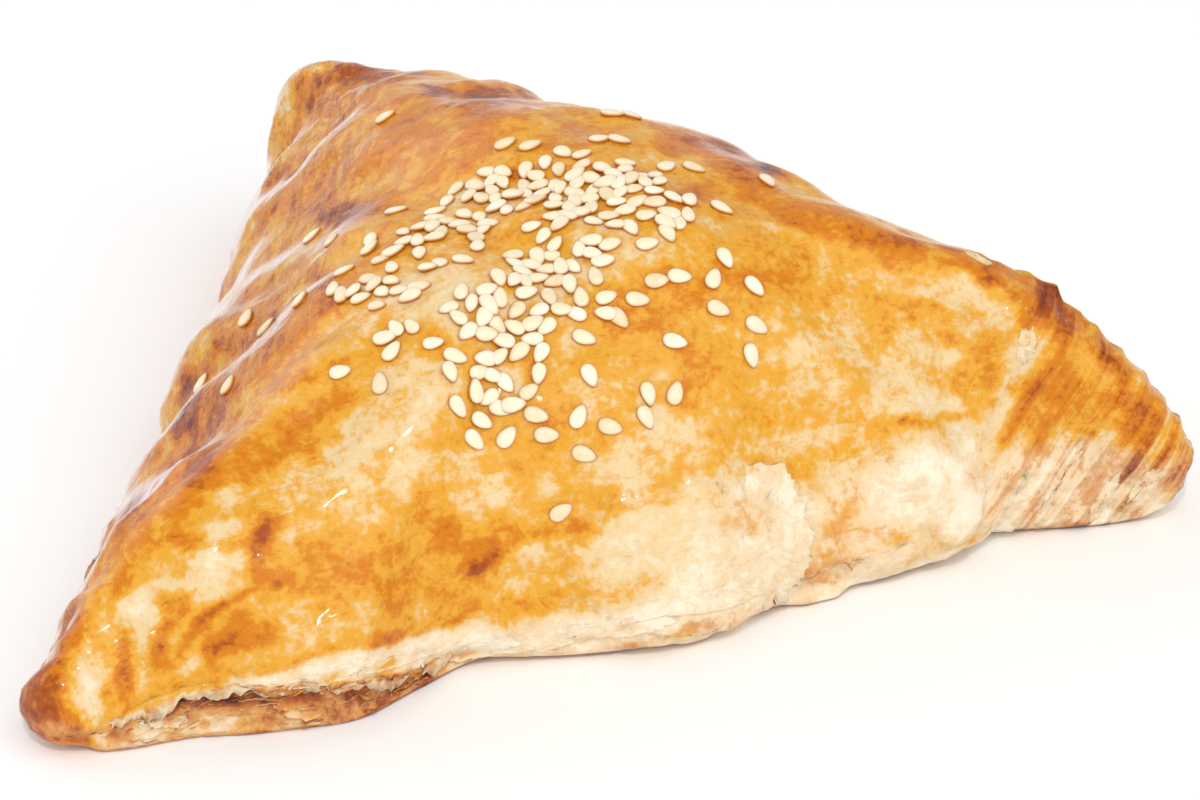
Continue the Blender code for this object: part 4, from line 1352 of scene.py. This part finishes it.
class Graph:
    """Short hand for building a material's nodes."""

    def __init__(self, name):
        self.material = bpy.data.materials.new(name)
        self.material.use_nodes = True
        self.nodes = self.material.node_tree.nodes
        self.links = self.material.node_tree.links
        self.shader = self.nodes["Principled BSDF"]

    def put(self, socket, value):
        if isinstance(value, bpy.types.NodeSocket):
            self.links.new(value, socket)
        else:
            socket.default_value = value

    def math(self, operation, a, b=0.0, c=0.0, clamp=False):
        node = self.nodes.new("ShaderNodeMath")
        node.operation = operation
        node.use_clamp = clamp
        for socket, value in zip(node.inputs, (a, b, c)):
            self.put(socket, value)
        return node.outputs[0]

    def attribute(self, name):
        node = self.nodes.new("ShaderNodeAttribute")
        node.attribute_name = name
        return node.outputs["Fac"]

    def vector(self, name):
        node = self.nodes.new("ShaderNodeAttribute")
        node.attribute_name = name
        return node.outputs["Vector"]

    def grazing(self):
        node = self.nodes.new("ShaderNodeLayerWeight")
        node.inputs["Blend"].default_value = 0.5
        return node.outputs["Facing"]

    def place(self):
        return self.nodes.new("ShaderNodeTexCoord").outputs["Object"]

    def noise(self, vector, scale, detail=3.0, roughness=0.5, distortion=0.0):
        node = self.nodes.new("ShaderNodeTexNoise")
        self.put(node.inputs["Vector"], vector)
        node.inputs["Scale"].default_value = scale
        node.inputs["Detail"].default_value = detail
        node.inputs["Roughness"].default_value = roughness
        node.inputs["Distortion"].default_value = distortion
        return node.outputs["Fac"]

    def combine(self, x, y, z):
        node = self.nodes.new("ShaderNodeCombineXYZ")
        for socket, value in zip(node.inputs, (x, y, z)):
            self.put(socket, value)
        return node.outputs[0]

    def ramp(self, factor, stops):
        node = self.nodes.new("ShaderNodeValToRGB")
        self.put(node.inputs["Fac"], factor)
        node.color_ramp.interpolation = "EASE"
        elements = node.color_ramp.elements
        while len(elements) < len(stops):
            elements.new(0.5)
        for element, (position, colour) in zip(elements, stops):
            element.position = position
            element.color = linear(colour)
        return node.outputs["Color"]

    def mix(self, factor, a, b):
        node = self.nodes.new("ShaderNodeMix")
        node.data_type = "RGBA"
        self.put(node.inputs["Factor"], factor)
        self.put(node.inputs[6], a)
        self.put(node.inputs[7], b)
        return node.outputs[2]

    def bump(self, height, strength, distance, normal=None):
        node = self.nodes.new("ShaderNodeBump")
        node.inputs["Strength"].default_value = strength
        node.inputs["Distance"].default_value = distance
        self.put(node.inputs["Height"], height)
        if normal is not None:
            self.put(node.inputs["Normal"], normal)
        return node.outputs["Normal"]


def linear(colour):
    """A colour given as 0 to 255 on a screen, as a shader's linear value."""
    values = [((c / 255.0 + 0.055) / 1.055) ** 2.4 for c in colour]
    return (*values, 1.0)


GLAZED = (
    (0.00, (238, 220, 190)),
    (0.22, (230, 201, 150)),
    (0.42, (226, 163, 48)),
    (0.60, (210, 124, 14)),
    (0.80, (164, 74, 8)),
    (1.00, (96, 38, 10)),
)
UNGLAZED = (
    (0.00, (245, 231, 205)),
    (0.25, (236, 208, 168)),
    (0.50, (216, 162, 110)),
    (0.78, (164, 96, 60)),
    (1.00, (92, 44, 28)),
)


def crust_material():
    graph = Graph("baked_puff_pastry")
    place = graph.place()
    bake = graph.attribute("bake")
    glaze = graph.attribute("glaze")
    streak = graph.attribute("streak")
    rolled = graph.combine(
        graph.math("MULTIPLY", graph.attribute("layer"), 0.42), graph.attribute("turn"), 0.0
    )
    wide = graph.noise(place, 90.0, 4.0, 0.6)
    middle = graph.noise(place, 300.0, 4.0, 0.6)
    small = graph.noise(place, 1100.0, 3.0, 0.6)
    layers = graph.noise(rolled, 1.0, 4.0, 0.6, 0.3)
    tone = graph.math("MULTIPLY_ADD", graph.math("SUBTRACT", wide, 0.5), 0.7, bake)
    tone = graph.math("MULTIPLY_ADD", graph.math("SUBTRACT", middle, 0.5), 0.45, tone)
    tone = graph.math("MULTIPLY_ADD", graph.math("SUBTRACT", small, 0.5), 0.34, tone)
    stripes = graph.math("MULTIPLY", graph.math("SUBTRACT", layers, 0.5), 1.9)
    tone = graph.math("MULTIPLY_ADD", stripes, streak, tone)
    wrinkles = graph.noise(graph.vector("grain"), 1.0, 4.0, 0.6, 0.4)
    grainy = graph.attribute("grainy")
    wrinkled = graph.math("MULTIPLY", graph.math("SUBTRACT", wrinkles, 0.5), grainy)
    tone = graph.math("MULTIPLY_ADD", wrinkled, 0.65, tone)
    web = graph.noise(place, 260.0, 2.0, 0.5, 1.6)
    lace = graph.math("MULTIPLY_ADD", graph.math("SUBTRACT", web, 0.56), 9.0, 0.5, clamp=True)
    tone = graph.math("MULTIPLY_ADD", lace, -0.06, tone, clamp=True)
    folds = graph.noise(place, 170.0, 3.0, 0.55, 0.8)
    cracks = graph.math("ABSOLUTE", graph.math("SUBTRACT", folds, 0.5))
    cracks = graph.math("MULTIPLY_ADD", cracks, -34.0, 1.0, clamp=True)
    cracks = graph.math("MULTIPLY", cracks, graph.math("MULTIPLY_ADD", glaze, -0.6, 1.0))
    tone = graph.math("MULTIPLY_ADD", cracks, 0.11, tone, clamp=True)
    shine = graph.math("MULTIPLY_ADD", graph.math("SUBTRACT", middle, 0.5), 0.5, glaze)
    shine = graph.math("MULTIPLY_ADD", graph.math("SUBTRACT", shine, 0.40), 2.4, 0.5, clamp=True)
    colour = graph.mix(shine, graph.ramp(tone, UNGLAZED), graph.ramp(tone, GLAZED))
    # Painted sheen: where the wrinkled left side is seen at a grazing angle, the base colour is mixed
    # towards a lavender white, broken up by the wrinkles. It stands in for the glaze's reflection.
    edge = graph.math("MULTIPLY_ADD", graph.grazing(), 7.0, -5.3, clamp=True)
    edge = graph.math("MULTIPLY", edge, graph.math("MULTIPLY_ADD", wrinkles, 2.6, -0.4, clamp=True))
    edge = graph.math("MULTIPLY", edge, graph.math("MULTIPLY_ADD", grainy, 1.6, -0.4, clamp=True))
    colour = graph.mix(edge, colour, linear((255, 240, 236)))
    graph.put(graph.shader.inputs["Base Color"], colour)
    rough = graph.math("MULTIPLY_ADD", shine, -0.26, 0.60)
    rough = graph.math("MULTIPLY_ADD", graph.math("SUBTRACT", small, 0.5), 0.30, rough, clamp=True)
    graph.put(graph.shader.inputs["Roughness"], rough)
    graph.shader.inputs["Coat Weight"].default_value = 0.50
    graph.shader.inputs["Coat Roughness"].default_value = 0.10
    graph.shader.inputs["Coat IOR"].default_value = 1.30
    graph.shader.inputs["Specular IOR Level"].default_value = 0.15
    graph.shader.inputs["Subsurface Weight"].default_value = 0.10
    graph.shader.inputs["Subsurface Radius"].default_value = (1.0, 0.5, 0.25)
    graph.shader.inputs["Subsurface Scale"].default_value = 0.003
    crumb = graph.math("MULTIPLY_ADD", small, 0.5, middle)
    normal = graph.bump(crumb, 0.5, 0.0007)
    normal = graph.bump(cracks, -0.35, 0.0005, normal)
    lines = graph.math("MULTIPLY", layers, streak)
    normal = graph.bump(lines, 0.6, 0.0008, normal)
    normal = graph.bump(graph.math("MULTIPLY", wrinkles, grainy), 1.0, 0.0018, normal)
    graph.put(graph.shader.inputs["Normal"], normal)
    return graph.material


def seed_material():
    graph = Graph("sesame_seed")
    place = graph.place()
    cloud = graph.noise(place, 700.0, 3.0, 0.6)
    tone = graph.math("MULTIPLY_ADD", graph.attribute("tint"), 0.5, graph.math("MULTIPLY", cloud, 0.5))
    body = graph.ramp(tone, ((0.0, (250, 243, 224)), (0.5, (244, 230, 198)), (1.0, (228, 198, 148))))
    # Brown rim on the seed's lower edge: partly baked glaze, partly painted shade where the seed meets the
    # crust.
    rim = graph.math("POWER", graph.attribute("rim"), 1.6)
    colour = graph.mix(rim, body, linear((196, 124, 48)))
    graph.put(graph.shader.inputs["Base Color"], colour)
    graph.put(graph.shader.inputs["Roughness"], graph.math("MULTIPLY_ADD", cloud, 0.2, 0.34))
    graph.shader.inputs["Subsurface Weight"].default_value = 0.15
    graph.shader.inputs["Subsurface Radius"].default_value = (1.0, 0.8, 0.5)
    graph.shader.inputs["Subsurface Scale"].default_value = 0.001
    graph.shader.inputs["Coat Weight"].default_value = 0.15
    graph.put(graph.shader.inputs["Normal"], graph.bump(cloud, 0.25, 0.0003))
    return graph.material


def make_floor():
    bpy.ops.mesh.primitive_plane_add(size=6.0, location=(0.0, 0.0, -0.0002))
    floor = bpy.context.object
    floor.name = "floor"
    graph = Graph("pale_floor")
    graph.shader.inputs["Base Color"].default_value = (0.96, 0.96, 0.96, 1.0)
    graph.shader.inputs["Roughness"].default_value = 0.9
    graph.shader.inputs["Specular IOR Level"].default_value = 0.1
    floor.data.materials.append(graph.material)
    return floor


def make_camera():
    place, right, up, back = camera_axes()
    data = bpy.data.cameras.new("camera")
    data.sensor_width = 36.0
    data.lens = VIEW_FOCAL / 1200.0 * 36.0
    data.clip_start = 0.01
    camera = bpy.data.objects.new("camera", data)
    turn = np.column_stack((right, up, back))
    camera.matrix_world = Matrix.Translation(Vector(place * MM)) @ Matrix(turn.tolist()).to_4x4()
    bpy.context.scene.collection.objects.link(camera)
    bpy.context.scene.camera = camera


def add_light(name, place, target, size, power, colour):
    data = bpy.data.lights.new(name, "AREA")
    data.shape = "RECTANGLE"
    data.size = size[0]
    data.size_y = size[1]
    data.energy = power
    data.color = colour
    light = bpy.data.objects.new(name, data)
    light.location = place
    direction = Vector(target) - Vector(place)
    light.rotation_euler = direction.to_track_quat("-Z", "Y").to_euler()
    bpy.context.scene.collection.objects.link(light)


def make_light():
    add_light("key", (0.35, -0.9, 0.95), (0.0, 0.0, 0.0), (1.5, 1.5), 7.4, (1.0, 0.99, 0.97))
    add_light("glint", (-0.25, -0.75, 1.0), (0.0, 0.0, 0.0), (0.05, 0.05), 3.0, (1.0, 1.0, 1.0))
    add_light("fill", (-0.9, -0.7, 0.5), (0.0, 0.0, 0.02), (1.4, 1.4), 2.2, (0.98, 0.99, 1.0))
    add_light("rim", (-0.6, 0.9, 0.55), (-0.03, 0.02, 0.02), (1.2, 0.9), 4.0, (0.97, 0.97, 1.0))
    world = bpy.data.worlds.new("studio")
    world.use_nodes = True
    background = world.node_tree.nodes["Background"]
    background.inputs["Color"].default_value = (1.0, 1.0, 1.0, 1.0)
    background.inputs["Strength"].default_value = 0.62
    bpy.context.scene.world = world


def main():
    bpy.context.scene.view_settings.view_transform = "Standard"
    make_camera()
    make_light()
    make_floor()
    crust, shift = make_crust()
    pastry = crust_material()
    crust.data.materials.append(pastry)
    flakes = make_flakes(crust, shift)
    flakes.data.materials.append(pastry)
    seeds = make_seeds(crust)
    seeds.data.materials.append(seed_material())
    for piece, slot in ((crust, "puff_pastry"), (flakes, "puff_pastry"), (seeds, "sesame_seed")):
        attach(piece, "root")
        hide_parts("samsa")


main()
